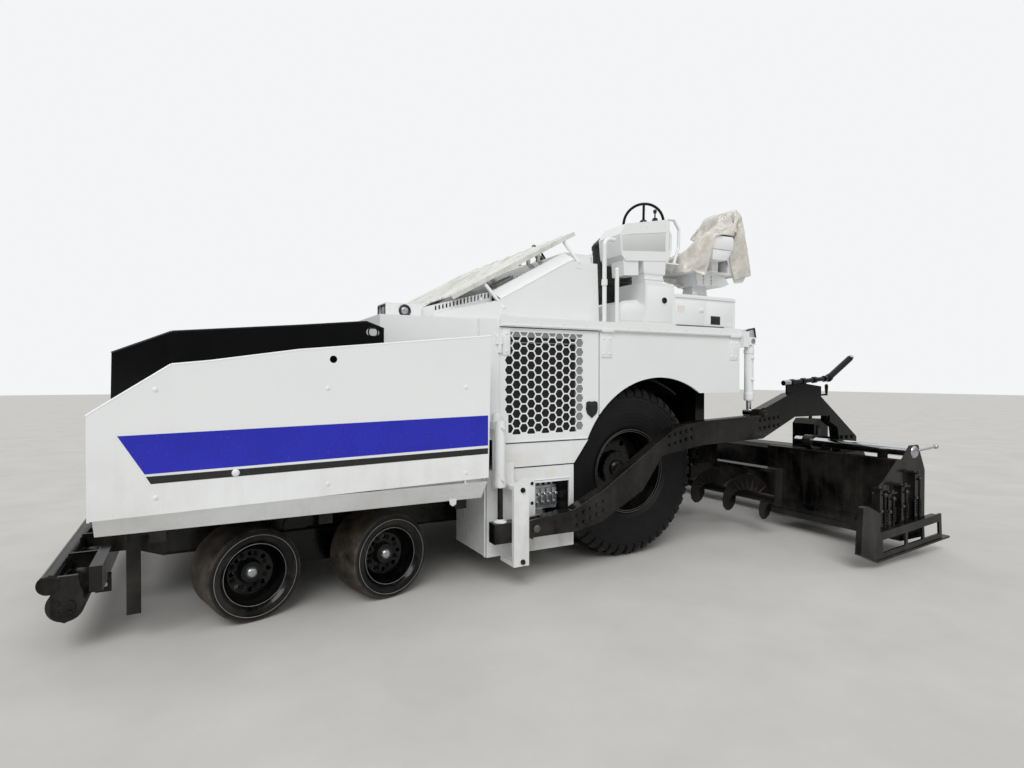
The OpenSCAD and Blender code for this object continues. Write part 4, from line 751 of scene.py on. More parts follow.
class PAVER_OT_wheel_fittings(bpy.types.Operator):
    """Add the nuts, caps and valves of all wheels"""

    bl_idname = "paver.wheel_fittings"
    bl_label = "Wheel fittings"

    def execute(self, context):
        sizes = context.scene.paver_sizes
        for side, sign in SIDES:
            self.drive_wheel(side, sign, sizes)
            self.shoulder_lugs(side, sign)
        for name, sign in CORNERS:
            self.front_wheel(name, sign, sizes)
        return {"FINISHED"}

    def drive_wheel(self, side, sign, sizes):
        """Nuts, hub cover, valve and wire-edged ring of a drive rim, and bright steel wires on the lip and
        seat of that ring as painted highlights.
        """
        dish, ring, lip = 1.021, 1.197, 1.204
        nut_circle, ring_radius, seat_radius = 0.125, 0.342, 0.3265
        out = (0, sign, 0)
        hub = middle_of(f"drive_rim_{side}")
        hub.y = dish * sign
        bm = bmesh.new()
        for i in range(sizes.drive_nuts):
            a = i * 2 * math.pi / sizes.drive_nuts
            foot = hub + Vector((math.cos(a) * nut_circle, -0.002 * sign, math.sin(a) * nut_circle))
            hex_head(bm, foot, out, sizes.drive_nut)
        stud(bm, DRIVE_AXLE[0], 1.045 * sign, DRIVE_AXLE[1], HUB_COVER, 40)
        valve = hub + Vector((0.2, 0, 0.05))
        rod(bm, valve - Vector((0, 0.05 * sign, 0)), valve + Vector((0, 0.01 * sign, 0)), 0.006, 12)
        hoop(bm, Vector((hub.x, ring * sign, hub.z)), out, ring_radius, 0.007, 96)
        piece(f"drive_nuts_{side}", bm, f"drive_wheel_{side}", paint_black())
        # bright steel wires along the ring's lip and seat: painted highlights of the rim's edges
        bm = bmesh.new()
        hoop(bm, Vector((hub.x, lip * sign, hub.z)), out, ring_radius, 0.0022, 120)
        hoop(bm, Vector((hub.x, ring * sign, hub.z)), out, seat_radius, 0.0022, 120)
        piece(f"drive_rim_lips_{side}", bm, f"drive_wheel_{side}", worn_steel())

    def shoulder_lugs(self, side, sign):
        """Raised blocks round both shoulders of a drive tyre, a cut between each two."""
        centre = middle_of(f"drive_tyre_{side}")
        # radius and distance from the tyre's middle, along its shoulder and back over the lug
        base = ((0.606, 0.203), (0.628, 0.192), (0.662, 0.177), (0.683, 0.142))
        skin = ((0.700, 0.150), (0.672, 0.188), (0.634, 0.206), (0.612, 0.2085))
        bm = bmesh.new()
        count, width = 46, 0.058
        for i in range(count):
            for away, shift in ((1, 0), (-1, 0.5)):
                turn = Matrix.Rotation((i + shift) * 2 * math.pi / count, 4, "Y")
                flat = [Vector((-width / 2, axial * away * sign, radius)) for radius, axial in (*base, *skin)]
                outline = [centre + turn @ corner for corner in flat]
                prism(bm, outline, turn @ Vector((width, 0, 0)), 0.004)
        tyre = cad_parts[f"drive_tyre_{side}"].data.materials[0]
        piece(f"shoulder_lugs_{side}", bm, f"drive_wheel_{side}", tyre)

    def front_wheel(self, name, sign, sizes):
        """Nuts with their studs and flange of a front rim, its bright hub cap, and zinc wires along the
        flange's lips as painted highlights.
        """
        nut_circle = 0.105
        hub = middle_of(f"rim_{name}")
        axis = Vector((-math.sin(FRONT_LEAN), math.cos(FRONT_LEAN) * sign, 0))
        across = axis.cross(Vector((0, 0, 1)))
        bm = bmesh.new()
        for i in range(sizes.front_nuts):
            a = (i + 0.5) * 2 * math.pi / sizes.front_nuts
            foot = hub + across * math.cos(a) * nut_circle + Vector((0, 0, math.sin(a) * nut_circle))
            hex_head(bm, foot + axis * 0.067, axis, sizes.front_nut)
            rod(bm, foot + axis * 0.07, foot + axis * 0.094, 0.007, 12)
        # pressed flange that laps over the tyre's side
        turned(bm, hub, axis, RIM_FLANGE, 72)
        piece(f"front_nuts_{name}", bm, f"wheel_{name}", paint_black())
        bm = bmesh.new()
        # bright wires round the outer and inner lip of the flange: painted highlights of the rim's edges
        hoop(bm, hub + axis * 0.1835, axis, 0.2455, 0.0016, 96)
        hoop(bm, hub + axis * 0.1585, axis, 0.187, 0.0016, 96)
        turned(bm, hub + axis * 0.088, axis, HUB_CAP, 36)
        piece(f"hub_cap_{name}", bm, f"wheel_{name}", zinc())


class PAVER_OT_stripes(bpy.types.Operator):
    """Lay the blue band and the thin black line along both hopper sides"""

    bl_idname = "paver.stripes"
    bl_label = "Stripes"

    def execute(self, context):
        blue = keep("blue_vinyl", vinyl, context.scene.paver_finish.stripe)
        black = keep("black_vinyl", vinyl, linear("0B0B0C"))
        band = ((-0.560, 1.186), (1.516, 1.231), (1.516, 1.031), (-0.442, 0.984))
        line = ((-0.437, 0.971), (1.516, 1.013), (1.516, 0.975), (-0.415, 0.932))
        for side, sign in SIDES:
            for name, outline, material in (("band", band, blue), ("line", line, black)):
                bm = bmesh.new()
                side_sheet(bm, outline, (HOPPER_SIDE + 0.0003) * sign, 0.0006)
                piece(f"{name}_{side}", bm, "tractor", material)
        return {"FINISHED"}


class PAVER_OT_hopper_fittings(bpy.types.Operator):
    """Add the bolts, brackets and welds of the hopper"""

    bl_idname = "paver.hopper_fittings"
    bl_label = "Hopper fittings"

    def execute(self, context):
        sizes = context.scene.paver_sizes
        for side, sign in SIDES:
            bm = bmesh.new()
            # button heads that hold the side on its ribs, three rows of two
            for station in (-0.394, 0.476, 1.356):
                for height in (0.86, 1.42):
                    stud(bm, station, HOPPER_SIDE * sign, height, HOPPER_BUTTON, 20)
            stud(bm, -0.016, HOPPER_SIDE * sign, 0.961, HOPPER_PLUG, 24)
            # small hanger under the rear of the side
            hanger = ((1.262, 0.712), (1.33, 0.712), (1.322, 0.64), (1.298, 0.628), (1.28, 0.64))
            side_sheet(bm, hanger, 1.43 * sign, 0.01, 0.002)
            # rolled bead round the upper edge
            rim = ((-0.69, 1.29), (-0.65, 1.32), (-0.32, 1.55), (-0.14, 1.57), (0.32, 1.64), (1.54, 1.76))
            beading(bm, rim, 1.519 * sign, 0.0075)
            piece(f"hopper_side_bolts_{side}", bm, "tractor", paint_white())
            bm = bmesh.new()
            for station in (-0.5, -0.2, 0.1, 0.4, 0.7):
                hex_head(bm, st(station, 1.378 * sign, 1.0), (0, -sign, 0), sizes.bolt)
                hex_head(bm, st(station, 1.390 * sign, 1.0), (0, sign, 0), sizes.bolt)
            rim = ((-0.595, 1.61), (-0.32, 1.73), (0.34, 1.79), (0.74, 1.83), (0.85, 1.79))
            beading(bm, rim, 1.384 * sign, 0.0085)
            weld(bm, st(-0.6, 1.377 * sign, 0.872), st(0.84, 1.377 * sign, 0.872), 0.005)
            hoop(bm, st(0.78, 1.392 * sign, 1.768), (0, sign, 0), 0.03, 0.005, 32)
            piece(f"wing_bolts_{side}", bm, f"wing_{side}", paint_black())
        self.frame_bolts()
        return {"FINISHED"}

    def frame_bolts(self):
        """Bolted foot plates of the outriggers, long welds, and the flat bars by the foremost wheels."""
        plate_face, thick = 0.6005, 0.012
        hanging_bar = (
            (-0.552, 0.165), (-0.552, 0.67), (-0.36, 0.67), (-0.36, 0.60), (-0.482, 0.60), (-0.482, 0.165),
        )
        bm = bmesh.new()
        for _, sign in SIDES:
            for station in (-0.43, 0.44, 1.32):
                corners = ((-0.03, 0.58), (0.11, 0.58), (0.11, 0.684), (-0.03, 0.684))
                foot = [(station + off, height) for off, height in corners]
                side_sheet(bm, foot, plate_face * sign, thick, 0.002)
                for off in (-0.015, 0.095):
                    for height in (0.594, 0.67):
                        place = st(station + off, (plate_face + thick) * sign, height)
                        hex_head(bm, place, (0, sign, 0), 0.022)
            weld(bm, st(-0.4, 0.601 * sign, 0.33), st(4.0, 0.601 * sign, 0.33), 0.007)
            side_sheet(bm, hanging_bar, 1.195 * sign, 0.012, 0.002)
        piece("frame_bolts", bm, "tractor", paint_black())


class PAVER_OT_side_fittings(bpy.types.Operator):
    """Add the hinge plates, latches, covers and valves of both flanks"""

    bl_idname = "paver.side_fittings"
    bl_label = "Side fittings"

    def execute(self, context):
        for side, sign in SIDES:
            self.hinges(side, sign)
            self.door_trim(side, sign)
            self.lower_box(side, sign)
            self.valves(side, sign)
        return {"FINISHED"}

    def hinges(self, side, sign):
        """Hinge plates under the deck's edge, the moulding there, and the cover of the cylinder's guide."""
        flank, edge = FLANK * sign, (DECK_EDGE + 0.0005) * sign
        width, overhang = 0.104, 0.008
        bm = bmesh.new()
        for station in (2.607, 4.022):
            end = station + width
            plate(bm, (station, 1.642), (end, 1.84), flank, 0.006, 0.0015)
            plate(bm, (station - overhang, 1.842), (end + overhang, 1.872), edge, 0.006, 0.0015)
            beading(bm, ((station, 1.845), (end, 1.845)), 1.312 * sign, 0.009, 16)
            for off in (0.022, 0.082):
                for height in (1.672, 1.79):
                    stud(bm, station + off, flank + 0.006 * sign, height, HINGE_SCREW, 16)
        plate(bm, (1.73, 1.857), (4.145, 1.869), edge, 0.004, 0.001)
        for i in range(12):
            stud(bm, 1.84 + i * 0.205, (DECK_EDGE + 0.0002) * sign, 1.885, EDGE_BUTTON, 14)
        cover = ((1.652, 0.69), (1.652, 1.21), (1.664, 1.232), (1.700, 1.232), (1.712, 1.21), (1.712, 0.69))
        side_sheet(bm, cover, (FLANK + 0.0003) * sign, 0.03, 0.008)
        piece(f"flank_plates_{side}", bm, "tractor", paint_white())

    def door_trim(self, side, sign):
        """Hinge plate, hem, latch and dark screen of a grille door."""
        flank, door = FLANK * sign, f"door_{side}"
        bm = bmesh.new()
        plate(bm, (1.738, 1.645), (1.80, 1.835), flank, 0.006, 0.0015)
        for height in (1.675, 1.80):
            stud(bm, 1.769, flank + 0.006 * sign, height, HINGE_SCREW, 16)
        for run in (
            ((1.74, 1.016), (2.475, 1.016)), ((1.74, 1.838), (2.58, 1.838)), ((2.578, 1.19), (2.578, 1.83)),
        ):
            beading(bm, run, flank, 0.005, 10)
        piece(f"door_hem_{side}", bm, door, paint_white())
        # shield-shaped flush latch with its pull
        shield = (
            (2.466, 1.292), (2.462, 1.24), (2.474, 1.204), (2.518, 1.168), (2.562, 1.204),
            (2.574, 1.24), (2.57, 1.292), (2.545, 1.301), (2.518, 1.296), (2.491, 1.301),
        )
        pull = ((2.488, 1.276), (2.486, 1.236), (2.518, 1.206), (2.55, 1.236), (2.548, 1.276))
        bm = bmesh.new()
        side_sheet(bm, shield, flank, 0.008, 0.003)
        side_sheet(bm, pull, flank + 0.008 * sign, 0.006, 0.002)
        beading(bm, ((2.494, 1.262), (2.542, 1.262)), flank + 0.013 * sign, 0.005)
        piece(f"door_latch_{side}", bm, door, dark_plastic())
        bm = bmesh.new()
        plate(bm, (1.752, 1.063), (2.449, 1.824), 1.290 * sign, 0.001)
        woven = keep("woven_dark_screen", plain, linear("060608"), 0.85, 0.0, 5, 0.001)
        piece(f"door_screen_{side}", bm, door, woven)

    def lower_box(self, side, sign):
        """Door plate, edges and knobs of the lower box, and the blank labels of the flank."""
        bm = bmesh.new()
        plate(bm, (1.872, 0.235), (2.006, 0.735), (BOX_SIDE + 0.0004) * sign, 0.004, 0.0012)
        plate(bm, (1.60, 0.205), (1.613, 0.815), 1.274 * sign, 0.012, 0.002)
        for run in (
            ((2.008, 0.722), (2.325, 0.722)), ((2.008, 0.412), (2.325, 0.412)),
            ((2.013, 0.42), (2.013, 0.71)), ((2.332, 0.42), (2.332, 0.71)),
        ):
            beading(bm, run, (BOX_SIDE + 0.0008) * sign, 0.005, 10)
        piece(f"box_door_{side}", bm, "tractor", paint_white())
        bm = bmesh.new()
        for station, height in ((1.99, 0.70), (1.99, 0.555), (1.99, 0.30)):
            stud(bm, station, (BOX_SIDE + 0.0044) * sign, height, BOX_KNOB, 20)
        for height in (0.70, 0.20):
            hex_head(bm, st(1.80, 1.4925 * sign, height), (0, sign, 0), 0.026)
        piece(f"box_screws_{side}", bm, "tractor", paint_black())
        label, paper = keep("blank_label_film", vinyl, linear("E4E2DC")), 0.0006
        bm = bmesh.new()
        plate(bm, (1.79, 0.846), (1.905, 0.934), 1.2942 * sign, paper)
        plate(bm, (2.10, 0.735), (2.20, 0.80), (BOX_SIDE + 0.0002) * sign, paper)
        plate(bm, (3.448, 2.046), (3.532, 2.104), (LOCKER_SIDE + 0.0031) * sign, paper)
        piece(f"blank_labels_{side}", bm, "tractor", label)

    def valves(self, side, sign):
        """Valve block with its spools, unions and relief caps in the recess of the lower box."""
        block, face = 1.19 * sign, 1.205 * sign
        bm = bmesh.new()
        box(bm, st(2.06, 1.12 * sign, 0.48), st(2.26, block, 0.66), 0.004)
        for i in range(4):
            station = 2.085 + i * 0.05
            box(bm, st(station - 0.02, block, 0.50), st(station + 0.02, face, 0.64), 0.003)
            stud(bm, station, face, 0.60, SPOOL_CAP, 20)
            hex_head(bm, st(station, face, 0.53), (0, sign, 0), 0.024, 0.016)
            turned(bm, st(station, 1.16 * sign, 0.66), (0, 0, 1), RELIEF_CAP, 20)
        piece(f"valve_block_{side}", bm, "tractor", zinc())


class PAVER_OT_flank_panels(bpy.types.Operator):
    """Stand sheet panels for the flank skins and grille doors, with the round arch and open hexagons"""

    bl_idname = "paver.flank_panels"
    bl_label = "Flank panels"

    def execute(self, context):
        # thickness of the folded sheet
        fold = 0.016
        low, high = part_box("tractor_body")
        rear = FRONT_X - low.x
        bm = bmesh.new()
        for _, sign in SIDES:
            inner = FLANK - fold
            skin = [(2.595, high.z), *arch(2.595, 3.661, 33), (rear, 1.350), (rear, high.z)]
            side_sheet(bm, skin, inner * sign, fold)
            # fuel tank over the wheel, and the sill under the door
            plate(bm, (2.705, 1.500), (rear, high.z), 0.660 * sign, inner - 0.660)
            sill = ((1.725, 0.830), (1.725, 1.002), (2.490, 1.002), (2.360, 0.830))
            side_sheet(bm, sill, (FLANK - 0.030) * sign, 0.024)
        skins = piece("flank_skins", bm, "tractor", paint_white())
        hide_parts("tractor_body")
        grey = keep("grey_blind", plain, linear("8E9192"), 0.5, 0.2, 5, 0.0006)
        for side, sign in SIDES:
            self.door(side, sign, context.scene.paver_sizes, fold)
            bm = bmesh.new()
            # blind behind the last column, and the rail and pipe that show behind the top rows
            plate(bm, (2.366, 1.062), (2.449, 1.822), 1.2935 * sign, 0.0015)
            plate(bm, (1.752, 1.778), (2.366, 1.822), 1.2930 * sign, 0.001)
            beading(bm, ((1.752, 1.738), (2.366, 1.738)), 1.2925 * sign, 0.0032, 10)
            piece(f"door_blind_{side}", bm, f"door_{side}", grey)
        return {"FINISHED"}

    def door(self, side, sign, sizes, fold):
        """Door of thin pierced sheet on a folded frame, cut round by the arch and notched at the hinges."""
        low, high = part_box(f"door_{side}")
        bottom, top, front = low.z, high.z, FRONT_X - high.x
        rear, skin = 2.585, 0.004
        knuckles = (bottom + 0.07, top - 0.184)
        outline = [(front, bottom)]
        for knuckle in knuckles:
            # rectangle of the notch, without its closing side
            notch = rectangle((front, knuckle + 0.0605), (front + 0.022, knuckle + 0.122))
            outline += [notch[0], notch[3], notch[2], notch[1]]
        foot = ARCH[0] - math.sqrt(ARCH[2] ** 2 - (bottom - ARCH[1]) ** 2)
        outline += [(front, top), (rear, top), *reversed(arch(foot, rear, 12))]
        window = rectangle((front + 0.024, bottom + 0.052), (2.450, top - 0.019))

        def loop(points, y):
            return [st(station, y * sign, height) for station, height in points]

        bm = bmesh.new()
        cells = [loop(cell, FLANK - skin) for cell in self.cells(sizes, bottom, top)]
        pierced(bm, loop(outline, FLANK - skin), cells, (0, sign * skin, 0))
        # the frame laps 0.5 mm into the sheet
        depth = sign * (fold - skin + 0.0005)
        pierced(bm, loop(outline, FLANK - fold), [loop(window, FLANK - fold)], (0, depth, 0))
        for knuckle in knuckles:
            turned(bm, st(front, (FLANK + 0.006) * sign, knuckle), (0, 0, 1), DOOR_KNUCKLE, 24)
        panel = piece(f"grille_door_{side}", bm, f"door_{side}", paint_white())
        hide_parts(f"door_{side}")

    def cells(self, sizes, bottom, top):
        """Outlines of the hexagons, those at the window's edge cut off by it."""
        columns, rows, first, sliver = 11, 12, 1.794, 0.006
        pitch = sizes.hex_flat + sizes.hex_web
        reach = sizes.hex_flat / math.sqrt(3)
        low, high = bottom + 0.060, top - 0.029
        for column in range(columns):
            station = first + column * pitch * math.sqrt(3) / 2
            for row in range(rows):
                height = high - sizes.hex_flat / 2 + pitch * (0.5 - row if column % 2 == 0 else -row)
                # hinge plate and guide post cover the foremost column at its top and foot
                left = 1.786 if height > 1.625 or height < 1.25 else 1.750
                cell = clipped(ring(station, height, reach, 6), (left, low), (2.446, high))
                if cell and max(point[1] for point in cell) - min(point[1] for point in cell) > sliver:
                    yield cell


class PAVER_OT_deck_fittings(bpy.types.Operator):
    """Add lids, seams, caps and the tread plate of the deck"""

    bl_idname = "paver.deck_fittings"
    bl_label = "Deck fittings"

    def execute(self, context):
        bm = bmesh.new()
        box(bm, st(2.72, -0.715, 1.9002), st(4.14, 0.715, 1.9042), 0.001)
        piece("deck_tread", bm, "tractor", painted_tread())
        for side, sign in SIDES:
            self.locker_lids(side, sign)
            self.locker_rubber(side, sign)
            self.filler(side, sign)
        return {"FINISHED"}

    def locker_lids(self, side, sign):
        """Lids 3 mm proud of the lockers, their screws, the paddle latch and the ring of a lifting eye."""
        side_face, lid = LOCKER_SIDE * sign, 0.003
        bm = bmesh.new()
        for low, high in (
            ((3.43, 1.94), (3.77, 2.15)), ((3.79, 1.94), (4.12, 2.15)), ((3.12, 1.95), (3.39, 2.25)),
        ):
            plate(bm, low, high, side_face, lid, 0.001)
        fairing = ((2.84, 1.95), (2.84, 2.06), (2.88, 2.085), (3.01, 2.10), (3.075, 2.065), (3.075, 1.95))
        side_sheet(bm, fairing, 1.240 * sign, lid, 0.001)
        for station in (3.46, 3.74, 3.82, 4.09):
            for height in (1.965, 2.125):
                stud(bm, station, side_face + lid * sign, height, LID_SCREW, 12)
        plate(bm, (3.700, 2.058), (3.756, 2.100), 1.2508 * sign, 0.0045, 0.0015)
        plate(bm, (3.708, 2.066), (3.748, 2.084), 1.2552 * sign, 0.004, 0.0012)
        hoop(bm, st(3.715, 1.18 * sign, 2.222), (0, 1, 0), 0.018, 0.005, 24)
        weld(bm, st(3.415, 1.25 * sign, 2.19), st(4.14, 1.25 * sign, 2.19), 0.003)
        piece(f"locker_lids_{side}", bm, "tractor", paint_white())

    def locker_rubber(self, side, sign):
        """Gauge on the box under the console, blank dark plate and rubber seal of the lockers."""
        bm = bmesh.new()
        stud(bm, 3.30, 1.251 * sign, 2.135, LOCKER_GAUGE, 28)
        plate(bm, (3.84, 1.955), (3.955, 2.03), 1.251 * sign, 0.002, 0.0008)
        seal = ((3.40, 1.905), (3.44, 1.937), (4.00, 1.937), (4.04, 1.905))
        side_sheet(bm, seal, LOCKER_SIDE * sign, 0.006, 0.0015)
        piece(f"deck_rubber_{side}", bm, "tractor", dark_plastic())

    def filler(self, side, sign):
        """Fuel filler's cap with its finger ribs."""
        foot, ribs, radius = st(2.8, 0.86 * sign, 1.9), 8, 0.05
        bm = bmesh.new()
        turned(bm, foot, (0, 0, 1), FILLER_CAP, 36)
        for i in range(ribs):
            a = i * 2 * math.pi / ribs
            rib = foot + Vector((math.cos(a) * radius, math.sin(a) * radius, 0.013))
            rod(bm, rib, rib + Vector((0, 0, 0.032)), 0.006, 10)
        piece(f"filler_cap_{side}", bm, "tractor", zinc())


class PAVER_OT_station_fittings(bpy.types.Operator):
    """Add dials, switches, grips and clamps of both operator's stations"""

    bl_idname = "paver.station_fittings"
    bl_label = "Station fittings"

    def execute(self, context):
        for side, sign in SIDES:
            self.console(side, sign)
            self.controls(side, sign)
            self.steering_hub(side, sign)
        return {"FINISHED"}

    def console(self, side, sign):
        """Light panel in the console's flank, clamps of its column, screws and ferrules."""
        panel = ((2.862, 2.516), (2.855, 2.63), (2.907, 2.647), (3.314, 2.709), (3.314, 2.552))
        bm = bmesh.new()
        side_sheet(bm, panel, 1.2463 * sign, 0.0022, 0.0008)
        grey = keep("panel_grey_enamel", enamel, linear("D3D4D3"), linear("9A948A"), 0.3, 1.0, 3.0, 0.1)
        piece(f"console_panel_{side}", bm, "tractor", grey)
        bm = bmesh.new()
        for height in (2.30, 2.345):
            plate(bm, (3.088, height), (3.302, height + 0.014), 1.2402 * sign, 0.004, 0.001)
        for station, height in ((2.90, 2.465), (3.32, 2.49), (2.905, 2.70), (3.31, 2.775), (3.10, 2.735)):
            stud(bm, station, (CONSOLE_SIDE + 0.0002) * sign, height, CONSOLE_SCREW, 12)
        for station, y in ((3.405, 1.1), (3.545, 1.1), (3.395, 1.052), (3.5, 1.052)):
            turned(bm, st(station, y * sign, 2.49), (0, 0, 1), POST_FERRULE, 20)
        piece(f"console_clamps_{side}", bm, "tractor", paint_white())

    def controls(self, side, sign):
        """Gauges and switches on the slope that faces the operator, and the joystick with its folded boot."""
        facing_operator = (-1, 0, 0.06)
        bm = bmesh.new()
        for i, y in enumerate((1.01, 1.075, 1.14, 1.205)):
            # every second gauge sits 20 mm lower
            turned(bm, st(3.358, y * sign, 2.72 - 0.02 * (i % 2)), facing_operator, CONSOLE_GAUGE, 28)
        for height in (2.645, 2.600):
            for i in range(5):
                turned(bm, st(3.35, (0.995 + i * 0.052) * sign, height), facing_operator, SWITCH, 16)
        turned(bm, st(3.25, 1.19 * sign, 2.803), (0, 0, 1), JOYSTICK, 24)
        piece(f"console_controls_{side}", bm, "tractor", dark_plastic())

    def steering_hub(self, side, sign):
        """Cap and folded boot of the steering wheel's column."""
        tilt, turn = math.radians(63), math.radians(232)
        level = math.sin(tilt)
        axis = Vector((level * math.cos(turn), level * math.sin(turn) * sign, math.cos(tilt)))
        hub = st(3.37, 0.9 * sign, 2.87)
        bm = bmesh.new()
        turned(bm, hub, axis, WHEEL_CAP, 32)
        turned(bm, hub, -axis, WHEEL_BOOT, 28)
        piece(f"steering_hub_{side}", bm, "tractor", dark_plastic())


# back shell of a seat, from the side
SHELL = (
    (4.150, 2.440), (4.240, 2.440), (4.420, 2.480), (4.300, 2.800), (4.262, 3.040), (4.244, 3.040),
    (4.236, 2.800), (4.170, 2.560),
)
# tiers of the control box beside the seat: outline from the side, low y and high y
ARM_TIERS = (
    (
        ((3.765, 2.511), (3.765, 2.604), (3.990, 2.604), (3.962, 2.540), (3.922, 2.511)),
        1.156, 1.345,
    ),
    (
        ((3.757, 2.605), (3.757, 2.690), (3.776, 2.723), (3.998, 2.723), (4.012, 2.704), (4.006, 2.605)),
        1.148, 1.353,
    ),
)


class PAVER_OT_seat_frames(bpy.types.Operator):
    """Stand the folded pedestals, plates, control boxes and back shells of both seats"""

    bl_idname = "paver.seat_frames"
    bl_label = "Seat frames"

    def execute(self, context):
        bm = bmesh.new()
        for _, sign in SIDES:
            self.pedestal(bm, sign)
            self.control_box(bm, sign)
            self.back(bm, sign)
        frames = piece("seat_frames", bm, "tractor", paint_white())
        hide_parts("seat_bases")
        return {"FINISHED"}

    def pedestal(self, bm, sign):
        """Hollow pedestal on its post, with height holes in its outer sheet, and the cushion's plate."""
        outer, hole = 1.126 * sign, 0.009
        hull = ((3.797, 2.322), (3.782, 2.4295), (4.130, 2.4295), (4.200, 2.352), (4.120, 2.322))
        side_sheet(bm, hull, 0.880 * sign, 0.238, 0.002)
        loops = [hull]
        for station in (3.876, 3.972):
            loops += [ring(station, height, hole, 12) for height in (2.342, 2.372, 2.402)]
        sheet, *openings = [[st(station, outer, height) for station, height in loop] for loop in loops]
        pierced(bm, sheet, openings, (0, 0.004 * sign, 0))
        for station in (3.790, 4.110):
            box(bm, st(station, 1.117 * sign, 2.36), st(station + 0.010, 1.1262 * sign, 2.425))
        post = ((3.830, 2.2043), (3.850, 2.330), (4.010, 2.330), (4.030, 2.2043))
        side_sheet(bm, post, 0.900 * sign, 0.130, 0.002)
        box(bm, st(3.620, 0.790 * sign, 2.429), st(4.200, 1.160 * sign, 2.450), 0.002)

    def control_box(self, bm, sign):
        """Box of two tiers beside the cushion, on a bracket from the plate."""
        box(bm, st(3.850, 1.150 * sign, 2.4305), st(3.930, 1.250 * sign, 2.4485), 0.001)
        box(bm, st(3.850, 1.200 * sign, 2.445), st(3.930, 1.250 * sign, 2.520), 0.001)
        for outline, low_y, high_y in ARM_TIERS:
            side_sheet(bm, outline, low_y * sign, high_y - low_y, 0.003)
        for station in (3.801, 3.95):
            stud(bm, station, 1.3448 * sign, 2.588, EDGE_BUTTON, 14)

    def back(self, bm, sign):
        """Shell behind the back cushion, and the broad sheet that closes its outer side."""
        sheet = (
            (4.142, 2.571), (4.241, 2.362), (4.352, 2.375), (4.424, 2.480), (4.304, 2.800), (4.264, 3.042),
            (4.246, 3.042), (4.200, 2.780),
        )
        side_sheet(bm, SHELL, 0.800 * sign, 0.350, 0.004)
        side_sheet(bm, sheet, 1.1505 * sign, 0.005, 0.0015)


# cushion and back of a seat, from the side
CUSHION = ((3.630, 2.4503), (3.610, 2.520), (3.660, 2.575), (4.100, 2.560), (4.140, 2.4503))
BACK = ((4.092, 2.5607), (4.166, 2.5603), (4.230, 2.800), (4.238, 3.045), (4.192, 3.060), (4.150, 2.960))


